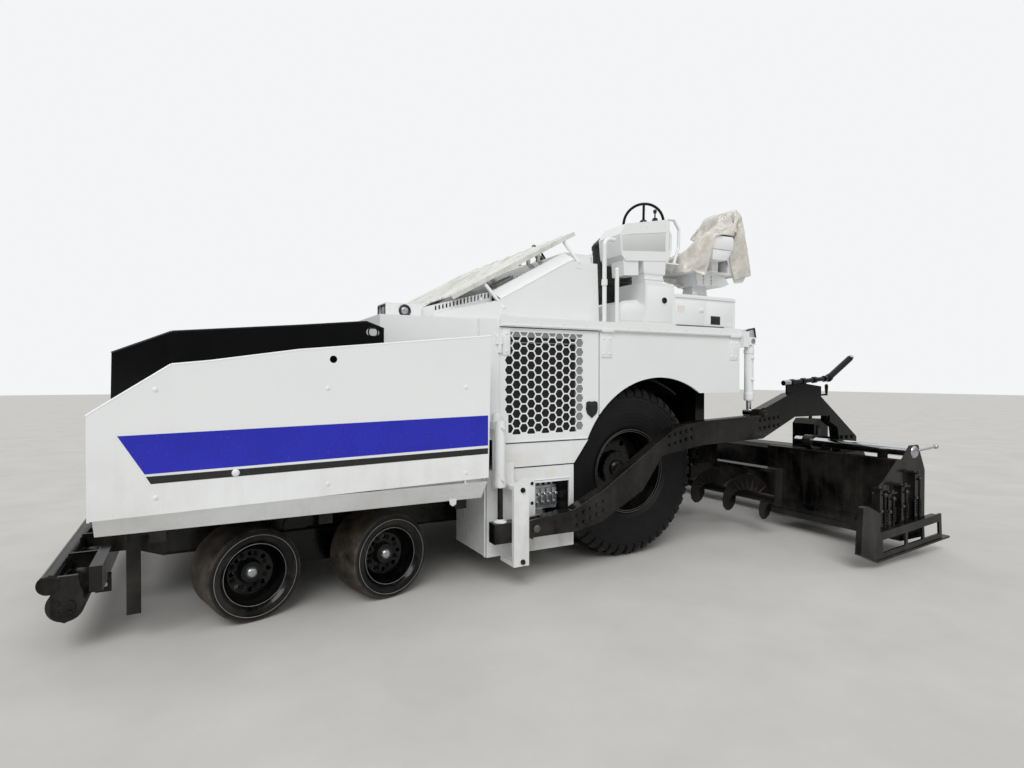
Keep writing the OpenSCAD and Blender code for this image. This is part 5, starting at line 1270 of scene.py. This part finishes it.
class PAVER_OT_seats(bpy.types.Operator):
    """Upholster both seats and wrap them in their loose transport film"""

    bl_idname = "paver.seats"
    bl_label = "Seats and film"

    def execute(self, context):
        cloth = keep("seat_vinyl", plain, linear("2A2B2E"), 0.5, 0.0, 10, 0.0006)
        pads = (
            self.pad(context, "seat_cushion", CUSHION, 0.77, 1.15, self.cushion_limit, cloth),
            self.pad(context, "seat_back", BACK, 0.80, 1.15, self.back_limit, cloth),
        )
        film = self.film(context, pads)
        for made, fill in ((pads[0], 0.7), (pads[1], 0.75), (film, None)):
            name = made.name
            made.name = name + "_left"
            mesh = made.data.copy()
            mesh.transform(Matrix.Diagonal((1, -1, 1, 1)))
            mesh.flip_normals()
            twin = placed(name + "_right", mesh)
            for one, side in ((made, "left"), (twin, "right")):
                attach(one, "tractor")
                if fill is None:
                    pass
                else:
                    if name == "seat_cushion":
                        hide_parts("seats")
        return {"FINISHED"}

    def cushion_limit(self, point):
        """Keeps the cushion on its plate and under the back, with a crown in between."""
        station = FRONT_X - point.x
        crown = 0.02 * min(1, max(0, (4.07 - station) / 0.2)) * min(1, max(0, (station - 3.60) / 0.1))
        line = 2.575 - 0.015 * (station - 3.66) / 0.44
        point.z = min(max(point.z, 2.4504), line + crown - 0.0005)

    def back_limit(self, point):
        """Keeps the back off the shell behind it and off the cushion below."""
        point.z = max(point.z, 2.5625)
        if point.z < 2.8:
            rear = 4.166 + 0.064 * (point.z - 2.5603) / 0.2397
        else:
            rear = 4.230 + 0.008 * (point.z - 2.8) / 0.245
        point.x = max(point.x, FRONT_X - rear + 0.0006)

    def settle(self, context, made):
        """Takes the modifiers' result as the piece's own mesh."""
        context.view_layer.update()
        graph = context.evaluated_depsgraph_get()
        mesh = bpy.data.meshes.new_from_object(made.evaluated_get(graph))
        made.modifiers.clear()
        made.data = mesh

    def pad(self, context, name, outline, low_y, high_y, limit, material):
        """A foam pad: a block smaller than its solid, swollen by pressure, then sewn."""
        middle = sum((st(s, 0, z) for s, z in outline), Vector()) / len(outline)
        bm = bmesh.new()
        points = [middle + (st(s, 0, z) - middle) * 0.93 for s, z in outline]
        prism(bm, [p + Vector((0, low_y + 0.016, 0)) for p in points], (0, high_y - low_y - 0.032, 0), 0.018)
        bmesh.ops.recalc_face_normals(bm, faces=bm.faces)
        made = from_bmesh(name, bm)
        remesh = made.modifiers.new("even", "REMESH")
        remesh.mode, remesh.voxel_size = "VOXEL", 0.0085
        self.settle(context, made)
        rest = [v.co.copy() for v in made.data.vertices]
        cloth = made.modifiers.new("swell", "CLOTH")
        cloth.settings.use_pressure = True
        cloth.settings.uniform_pressure_force = 4.0
        cloth.settings.effector_weights.gravity = 0.0
        cloth.settings.quality = 5
        cloth.collision_settings.use_collision = False
        for frame_number in range(1, 21):
            context.scene.frame_set(frame_number)
        self.settle(context, made)
        context.scene.frame_set(1)
        for vert, before in zip(made.data.vertices, rest):
            move = vert.co - before
            if move.length > 0.022:
                vert.co = before + move * (0.022 / move.length)
        normals = [v.normal.copy() for v in made.data.vertices]
        for vert, normal in zip(made.data.vertices, normals):
            # sewn channels, and the seam that runs round each side
            station, y, z = FRONT_X - vert.co.x, vert.co.y, vert.co.z
            across = (station - 3.78, station - 3.93) if name == "seat_cushion" else (z - 2.70, z - 2.85)
            sink = max(math.exp(-(d / 0.009) ** 2) for d in across) * 0.007 if abs(y - 0.965) < 0.13 else 0
            for d in (y - 0.835, y - 1.095):
                sink = max(sink, math.exp(-(d / 0.009) ** 2) * 0.007)
            vert.co -= normal * sink
            limit(vert.co)
        smooth = made.modifiers.new("round", "SUBSURF")
        smooth.levels = 1
        self.settle(context, made)
        for vert in made.data.vertices:
            limit(vert.co)
        made.data.polygons.foreach_set("use_smooth", [True] * len(made.data.polygons))
        made.data.materials.clear()
        made.data.materials.append(material)
        return made

    def film(self, context, pads):
        """A loose sheet that falls over the seat and stays as it lies."""
        bm = bmesh.new()
        bmesh.ops.create_grid(
            bm, x_segments=60, y_segments=40, size=0.5,
            matrix=Matrix.Translation(st(4.09, 0.97, 3.13)) @ Matrix.Diagonal((1.62, 0.96, 1, 1)),
        )
        for vert in bm.verts:
            vert.co.z += 0.012 * noise.noise(vert.co * 7.0)
        made = from_bmesh("seat_film", bm)
        cloth = made.modifiers.new("fall", "CLOTH")
        cloth.settings.quality = 6
        cloth.settings.mass = 0.12
        cloth.settings.tension_stiffness = cloth.settings.compression_stiffness = 30
        cloth.settings.shear_stiffness = 8
        cloth.settings.bending_stiffness = 0.6
        cloth.settings.air_damping = 2.0
        cloth.collision_settings.collision_quality = 3
        cloth.collision_settings.distance_min = 0.006
        bm = bmesh.new()
        # what lies under the film: shell, plate and control box
        side_sheet(bm, SHELL, 0.80, 0.357, 0.004)
        box(bm, st(3.62, 0.88, 2.40), st(4.2, 1.13, 2.45), 0.0)
        for outline, low_y, high_y in ARM_TIERS:
            side_sheet(bm, outline, low_y, high_y - low_y, 0.003)
        bmesh.ops.recalc_face_normals(bm, faces=bm.faces)
        stop = from_bmesh("seat_stop", bm)
        hit = [stop, *pads]
        for one in hit:
            one.modifiers.new("hit", "COLLISION")
            one.collision.thickness_outer = 0.006
        for frame_number in range(1, 46):
            context.scene.frame_set(frame_number)
        self.settle(context, made)
        context.scene.frame_set(1)
        for one in hit:
            one.modifiers.clear()
        bpy.data.objects.remove(stop, do_unlink=True)
        normals = [v.normal.copy() for v in made.data.vertices]
        for vert, normal in zip(made.data.vertices, normals):
            vert.co += normal * (0.004 * noise.noise(vert.co * 22.0))
        smooth = made.modifiers.new("round", "SUBSURF")
        smooth.levels = 1
        thick = made.modifiers.new("thick", "SOLIDIFY")
        thick.thickness, thick.offset = 0.0006, 0.0
        self.settle(context, made)
        made.data.polygons.foreach_set("use_smooth", [True] * len(made.data.polygons))
        made.data.materials.clear()
        milky = keep("milky_transport_film", transport_film, context.scene.paver_finish.film)
        made.data.materials.append(milky)
        return made


class PAVER_OT_hood_fittings(bpy.types.Operator):
    """Add lamps, bezels and screws of the hood and its cover"""

    bl_idname = "paver.hood_fittings"
    bl_label = "Hood fittings"

    def execute(self, context):
        slope = math.radians(28.7)
        # directions square to the hood's slope, and up along it towards the rear
        up = Vector((math.sin(slope), 0, math.cos(slope)))
        back = Vector((-math.cos(slope), 0, math.sin(slope)))
        for side, sign in SIDES:
            self.bezel(side, sign, up, back)
            self.front_lamps(side, sign)
            self.cover_screws(side, sign, up, back)
        return {"FINISHED"}

    def bezel(self, side, sign, up, back):
        """Bezel and bars of the round opening, screws along the hood's crease and the welds of its side."""
        crease = st(1.77, 0, 2.135)
        centre = crease + back * 0.26 + Vector((0, 0.76 * sign, 0))
        bm = bmesh.new()
        turned(bm, centre, up, HOOD_BEZEL, 48)
        for i in range(14):
            turned(bm, crease + back * (0.03 + i * 0.05) + Vector((0, 1.03 * sign, 0)), up, LID_SCREW, 12)
        weld(bm, st(1.30, 1.1485 * sign, 1.943), st(1.765, 1.1485 * sign, 2.051), 0.004)
        weld(bm, st(1.775, 1.1505 * sign, 2.055), st(2.415, 1.1505 * sign, 2.405), 0.004)
        piece(f"hood_bezel_{side}", bm, "tractor", paint_white())
        bm = bmesh.new()
        turned(bm, centre - up * 0.03, up, BEZEL_FLOOR, 40)
        for i in range(-3, 4):
            off = i * 0.024
            half = Vector((0, math.sqrt(0.088**2 - off**2), 0))
            middle = centre - up * 0.012 + back * off
            rod(bm, middle - half, middle + half, 0.003, 8)
        piece(f"hood_opening_dark_{side}", bm, "tractor", dark_plastic())

    def front_lamps(self, side, sign):
        """Round lamp in the box's side and flat lamp in its front, each with a dark rim."""
        station, height = 1.08, 1.948
        bm = bmesh.new()
        stud(bm, station, 1.094 * sign, height, ROUND_LENS, 32)
        box(bm, st(0.952, 0.92 * sign, 1.918), st(0.958, 1.08 * sign, 1.98), 0.002)
        lens = keep("front_lamp_glass", pressed_glass, linear("B8BEC4"))
        piece(f"front_lamp_glass_{side}", bm, "tractor", lens)
        bm = bmesh.new()
        stud(bm, station, 1.1 * sign, height, LENS_RIM, 36)
        corners = ((0.914, 1.912), (1.086, 1.912), (1.086, 1.986), (0.914, 1.986))
        bar_frame(bm, [st(0.9445, y * sign, z) for y, z in corners], 0.005, 10)
        piece(f"front_lamp_rims_{side}", bm, "tractor", dark_plastic())

    def cover_screws(self, side, sign, up, back):
        """Screws along the side and the front edge of the hood's cover."""
        foot = st(1.43, 0, 2.07) + up * 0.005
        bm = bmesh.new()
        for i in range(9):
            turned(bm, foot + back * (0.07 + i * 0.134) + Vector((0, 1.082 * sign, 0)), up, COVER_SCREW, 14)
        for i in range(8):
            turned(bm, foot + back * 0.03 + Vector((0, (0.11 + i * 0.13) * sign, 0)), up, COVER_SCREW, 14)
        piece(f"cover_screws_{side}", bm, "hood", zinc())


class PAVER_OT_work_lamps(bpy.types.Operator):
    """Add lens, bezel, cooling ribs and yoke bolt of the rear work lamps"""

    bl_idname = "paver.work_lamps"
    bl_label = "Work lamps"

    def execute(self, context):
        # the lamps lean down to light the screed; their parts are made about the lamp's middle
        lean = Matrix.Rotation(math.radians(12), 4, "Y")
        lens = keep("work_lamp_glass", pressed_glass, linear("D9DCDA"))
        corners = ((-0.051, -0.044), (0.051, -0.044), (0.051, 0.044), (-0.051, 0.044))
        for side, sign in SIDES:
            turn = Matrix.Translation(st(4.37, 1.208 * sign, 1.89)) @ lean
            bm = bmesh.new()
            box(bm, (-0.046, 0.022 * sign, -0.039), (0.046, 0.03 * sign, 0.039), 0.003)
            bmesh.ops.transform(bm, matrix=turn, verts=bm.verts)
            piece(f"work_lamp_glass_{side}", bm, "tractor", lens)
            bm = bmesh.new()
            bar_frame(bm, [Vector((x, 0.033 * sign, z)) for x, z in corners], 0.007, 12)
            # cooling ribs behind the lamp
            for i in range(7):
                x = -0.045 + i * 0.015
                rod(bm, (x, -0.036 * sign, -0.036), (x, -0.036 * sign, 0.036), 0.004, 8)
            bmesh.ops.transform(bm, matrix=turn, verts=bm.verts)
            hex_head(bm, st(4.32, 1.221 * sign, 1.87), (0, sign, 0), 0.018)
            piece(f"work_lamp_rim_{side}", bm, "tractor", dark_plastic())
        return {"FINISHED"}


class PAVER_OT_arm_fittings(bpy.types.Operator):
    """Add bolts, caps and crank tubes of the tow arms, and collars and glands of the cylinders"""

    bl_idname = "paver.arm_fittings"
    bl_label = "Arm fittings"

    def execute(self, context):
        for side, sign in SIDES:
            self.arm(side, sign, context.scene.paver_sizes.bolt * 0.8)
            self.tow_point(side, sign)
            self.lift_cylinder(side, sign)
        return {"FINISHED"}

    def arm(self, side, sign, bolt):
        """Splice bolts, welds and boss cap of a tow arm, and the crank tube behind its roller bar."""
        outer = ARM_SIDE * sign
        crank_way = (-0.863, 0, 0.505)
        bm = bmesh.new()
        # splices: station and height of the middle, and the arm's rise there
        for station, height, rise in ((2.40, 0.47, 0.36), (3.30, 1.0, 0.2), (4.36, 1.08, 0.1)):
            for along in (-0.12, -0.06, 0.0, 0.06, 0.12):
                for off in (-0.035, 0.035):
                    foot = st(station + along, outer, height + along * rise + off)
                    hex_head(bm, foot, (0, sign, 0), bolt)
        seam = (ARM_SIDE + 0.0005) * sign
        for route in (
            ((2.24, 0.512), (2.51, 0.632), (2.9, 0.872), (3.23, 1.072)), ((3.54, 1.121), (4.24, 1.146)),
        ):
            for a, b in zip(route, route[1:]):
                weld(bm, st(a[0], seam, a[1] - 0.006), st(b[0], seam, b[1] - 0.006), 0.006)
        stud(bm, LIFT_CYLINDER[0], outer, 1.165, BOSS_CAP, 32)
        rod(bm, st(5.235, 1.41 * sign, 1.468), st(5.590, 1.41 * sign, 1.676), 0.030, 28)
        turned(bm, st(5.245, 1.41 * sign, 1.474), crank_way, CRANK_COLLAR, 28)
        piece(f"arm_bolts_{side}", bm, "screed", paint_black())
        bm = bmesh.new()
        # bright sleeve over the front of the roller bar, and the knob of the crank
        rod(bm, st(4.600, 1.41 * sign, 1.4335), st(4.685, 1.41 * sign, 1.4395), 0.0245, 28)
        turned(bm, st(5.588, 1.41 * sign, 1.6745), crank_way, CRANK_KNOB, 28)
        piece(f"crank_knob_{side}", bm, "screed", zinc())

    def tow_point(self, side, sign):
        """Keeper over the tow pin; collar, gland and ports of the tow-point cylinder."""
        station, y = TOW_CYLINDER
        bm = bmesh.new()
        stud(bm, TOW_PIN[0], 1.465 * sign, TOW_PIN[1], PIN_KEEPER, 32)
        piece(f"tow_pin_cap_{side}", bm, "tow_points", worn_steel())
        bm = bmesh.new()
        turned(bm, st(station, y * sign, 0.4753), (0, 0, 1), ROD_COLLAR, 36)
        piece(f"rod_collar_{side}", bm, "tow_points", paint_white())
        bm = bmesh.new()
        turned(bm, st(station, y * sign, 0.7185), (0, 0, 1), TOW_GLAND, 36)
        for height in (0.775, 1.135):
            stud(bm, station, (y + 0.037) * sign, height, TOW_PORT, 6)
        piece(f"tow_gland_{side}", bm, "tractor", paint_white())

    def lift_cylinder(self, side, sign):
        """Gland, end ring, ports and pin heads of the screed's lift cylinder."""
        station, y = LIFT_CYLINDER
        bm = bmesh.new()
        turned(bm, st(station, y * sign, 1.274), (0, 0, 1), LIFT_GLAND, 40)
        turned(bm, st(station, y * sign, 1.70), (0, 0, 1), LIFT_RING, 40)
        # the lower port clears the arm's boss when the screed is up
        for height in (1.465, 1.66):
            stud(bm, station, (y + 0.039) * sign, height, LIFT_PORT, 6)
        piece(f"lift_gland_{side}", bm, "lift_barrels", paint_white())
        bm = bmesh.new()
        for off, away in ((0.05, sign), (-0.05, -sign)):
            turned(bm, st(station, (y + off) * sign, 1.815), (0, away, 0), PIN_HEAD, 24)
        piece(f"lift_pin_heads_{side}", bm, "tractor", zinc())


class PAVER_OT_screed_fittings(bpy.types.Operator):
    """Add bolts, cranks, levers and tread of the screed"""

    bl_idname = "paver.screed_fittings"
    bl_label = "Screed fittings"

    def execute(self, context):
        bm = bmesh.new()
        box(bm, st(5.735, -1.515, 0.3522), st(5.886, 1.515, 0.3562), 0.001)
        piece("walkway_tread", bm, "screed", painted_tread())
        self.main_bolts(context.scene.paver_sizes.bolt)
        for side, sign in SIDES:
            self.blade(side, sign)
            self.gate(side, sign)
            self.lever(side, sign)
        return {"FINISHED"}

    def main_bolts(self, bolt):
        """Rows of bolts on the screed's rear and arms, the angle screws' handles and their scale plates."""
        bm = bmesh.new()
        for i in range(15):
            for height in (0.24, 0.52):
                hex_head(bm, st(5.73, -1.4 + i * 0.2, height), (-1, 0, 0), 0.024)
        for _, sign in SIDES:
            for station in (5.40, 5.48, 5.56):
                for height in (0.82, 0.90):
                    hex_head(bm, st(station, (ARM_SIDE + 0.0005) * sign, height), (0, sign, 0), bolt)
            # folding handle and knob of the angle screw
            top = st(5.54, 1.055 * sign, 1.30)
            rod(bm, top, top + Vector((0, 0.15 * sign, 0.01)), 0.009, 14)
            turned(bm, top + Vector((0, 0.14 * sign, 0.01)), (0, 0, 1), ANGLE_KNOB, 20)
            plate(bm, (5.40, 0.9), (5.46, 1.0), 1.1802 * sign, 0.004, 0.001)
        piece("screed_bolts", bm, "screed", paint_black())

    def blade(self, side, sign):
        """Worn blade bolted along the strike plate's foot, and the plate's upper bolts and weld."""
        face, inner, outer = 4.8985, 1.005 * sign, 2.255 * sign
        corners = ((inner, 0.205), (outer, 0.205), (outer, 0.29), (inner, 0.29))
        bm = bmesh.new()
        prism(bm, [st(face, y, height) for y, height in corners], (0.0105, 0, 0), 0.002)
        for i in range(9):
            hex_head(bm, st(4.888, (1.07 + i * 0.14) * sign, 0.25), (1, 0, 0), 0.028)
        for i in range(7):
            hex_head(bm, st(4.9, (1.08 + i * 0.18) * sign, 0.76), (1, 0, 0), 0.022)
        weld(bm, st(4.899, 1.01 * sign, 0.80), st(4.899, 2.25 * sign, 0.80), 0.004)
        piece(f"strike_blade_{side}", bm, f"extension_{side}", paint_black())

    def gate(self, side, sign):
        """Bolts in the caps and faces of the end gate's four posts."""
        lean, gate_front, gate_foot = math.radians(4), 4.46, 0.245
        bm = bmesh.new()
        for station, top in ((4.585, 0.60), (4.70, 0.56), (4.88, 0.60), (5.07, 0.69)):
            foot = gate_foot + (station - gate_front) * math.sin(lean)
            hex_head(bm, st(station + 0.044, 2.322 * sign, top - 0.046), (0, 0, 1), 0.024)
            for off in (-0.028, 0.028):
                hex_head(bm, st(station + off, 2.325 * sign, top + 0.012), (0, 0, 1), 0.016)
            hex_head(bm, st(station, 2.32 * sign, (foot + top) / 2), (0, sign, 0), 0.02)
        piece(f"gate_springs_{side}", bm, f"extension_{side}", worn_steel())

    def lever(self, side, sign):
        """Lever at the guide tube's end, with its ball."""
        tip = st(5.33, 2.335 * sign, 0.9)
        bm = bmesh.new()
        stud(bm, GUIDE_TUBE[0], 2.271 * sign, GUIDE_TUBE[1], TUBE_END, 36)
        rod(bm, st(5.16, 2.285 * sign, 0.87), tip, 0.01, 16)
        place = Matrix.Translation(tip)
        bmesh.ops.create_uvsphere(bm, u_segments=20, v_segments=14, radius=0.02, matrix=place)
        piece(f"guide_lever_{side}", bm, f"extension_{side}", zinc())


class PAVER_OT_front_fittings(bpy.types.Operator):
    """Add end caps and bolts of the push rollers and their frame"""

    bl_idname = "paver.front_fittings"
    bl_label = "Front fittings"

    def execute(self, context):
        station, height = PUSH_ROLLER
        bolt_circle = 0.038
        bm = bmesh.new()
        for _, sign in SIDES:
            end = 1.214 * sign
            stud(bm, station, end, height, ROLLER_CAP, 36)
            for i in range(4):
                a = math.radians(45 + 90 * i)
                x, z = math.cos(a) * bolt_circle, math.sin(a) * bolt_circle
                hex_head(bm, st(station + x, end + 0.005 * sign, height + z), (0, sign, 0), 0.016)
            stud(bm, -0.898, end, 0.39, BAR_CAP, 36)
            for y in (0.25, 0.65, 1.05):
                for bolt_height in (0.42, 0.36):
                    hex_head(bm, st(-0.7205, y * sign, bolt_height), (1, 0, 0), 0.03)
        piece("push_frame_caps", bm, "tractor", paint_black())
        return {"FINISHED"}


class PAVER_OT_stage(bpy.types.Operator):
    """Add the floor, the lamps and the camera at the photograph's view"""

    bl_idname = "paver.stage"
    bl_label = "Stage"

    def execute(self, context):
        stage = context.scene.paver_stage
        context.scene.view_settings.view_transform = "Standard"
        bm = bmesh.new()
        bmesh.ops.create_grid(bm, x_segments=1, y_segments=1, size=60)
        floor = from_bmesh("floor", bm)
        # poured concrete, pale and matt, with faint clouds
        material, tree, bsdf, place = start("pale_concrete", Roughness=0.85)
        cloud = remap(tree, grain(tree, place, 700, 6.0, 0.6), 0.3, 0.7)
        shade = blend_colour(tree, cloud, linear("C4C3BF"), linear("CFCECB"))
        tree.links.new(shade, bsdf.inputs["Base Color"])
        bump(tree, bsdf, grain(tree, place, 20, 5.0), 0.001, 0.3)
        floor.data.materials.append(material)
        camera = bpy.data.cameras.new("camera")
        camera.lens, camera.sensor_width = stage.lens, 36.0
        camera.clip_end = 200
        view = placed("camera", camera)
        look = Vector((-math.cos(stage.heading), -math.sin(stage.heading), -math.tan(stage.pitch)))
        view.location = stage.place
        view.rotation_euler = look.to_track_quat("-Z", "Y").to_euler()
        context.scene.camera = view
        lamp = bpy.data.lights.new("soft_sun", "SUN")
        lamp.energy, lamp.angle = stage.sun, math.radians(35)
        sun = placed("soft_sun", lamp)
        sun.rotation_euler = Vector((-0.42, -0.62, -0.78)).to_track_quat("-Z", "Y").to_euler()
        world = bpy.data.worlds.new("even_sky")
        context.scene.world = world
        world.use_nodes = True
        tree = world.node_tree
        tree.nodes.clear()
        light = add(tree, "ShaderNodeBackground", {}, {"Color": (1, 1, 1, 1), "Strength": stage.sky})
        pale = add(tree, "ShaderNodeBackground", {}, {"Color": rgba(linear("F4F5F6")), "Strength": 1.0})
        path = add(tree, "ShaderNodeLightPath")
        seen = times(tree, path.outputs["Is Camera Ray"], path.outputs["Is Transmission Ray"], "MAXIMUM")
        # reflections see a dim yard near the horizon and a bright sky above
        up = add(tree, "ShaderNodeTexCoord").outputs["Generated"]
        height = add(tree, "ShaderNodeSeparateXYZ", {}, {}, {0: up}).outputs["Z"]
        shown = add(
            tree, "ShaderNodeBackground", {}, {"Color": (1, 1, 1, 1)},
            {"Strength": remap(tree, height, 0.05, 0.5, 0.16, 0.95)},
        )
        glossy = path.outputs["Is Glossy Ray"]
        mix = add(tree, "ShaderNodeMixShader", {}, {}, {0: glossy, 1: light.outputs[0], 2: shown.outputs[0]})
        mix = add(tree, "ShaderNodeMixShader", {}, {}, {0: seen, 1: mix.outputs[0], 2: pale.outputs[0]})
        add(tree, "ShaderNodeOutputWorld", {}, {}, {"Surface": mix.outputs[0]})
        return {"FINISHED"}


class PAVER_PT_panel(bpy.types.Panel):
    """Lists the paver's steps and values"""

    bl_label = "Paver"
    bl_idname = "PAVER_PT_panel"
    bl_space_type = "VIEW_3D"
    bl_region_type = "UI"
    bl_category = "Paver"

    def draw(self, context):
        for group in ("paver_finish", "paver_sizes", "paver_stage"):
            values = getattr(context.scene, group)
            for key in values.bl_rna.properties.keys():
                if key not in ("rna_type", "name"):
                    self.layout.prop(values, key)
        for step in STEPS:
            self.layout.operator(step.bl_idname)


GROUPS = (("paver_finish", PaverFinish), ("paver_sizes", PaverSizes), ("paver_stage", PaverStage))
STEPS = (
    PAVER_OT_finishes, PAVER_OT_stripes, PAVER_OT_wheel_fittings, PAVER_OT_hopper_fittings,
    PAVER_OT_side_fittings, PAVER_OT_flank_panels, PAVER_OT_deck_fittings, PAVER_OT_station_fittings,
    PAVER_OT_seat_frames, PAVER_OT_seats, PAVER_OT_hood_fittings, PAVER_OT_work_lamps,
    PAVER_OT_arm_fittings, PAVER_OT_screed_fittings, PAVER_OT_front_fittings, PAVER_OT_stage,
)


def register():
    for name, group in GROUPS:
        bpy.utils.register_class(group)
        setattr(bpy.types.Scene, name, PointerProperty(type=group))
    for kind in (*STEPS, PAVER_PT_panel):
        bpy.utils.register_class(kind)


def unregister():
    for kind in reversed((*STEPS, PAVER_PT_panel)):
        bpy.utils.unregister_class(kind)
    for name, group in reversed(GROUPS):
        delattr(bpy.types.Scene, name)
        bpy.utils.unregister_class(group)


def main():
    register()
    for step in STEPS:
        family, name = step.bl_idname.split(".")
        getattr(getattr(bpy.ops, family), name)()


if __name__ == "__main__":
    main()
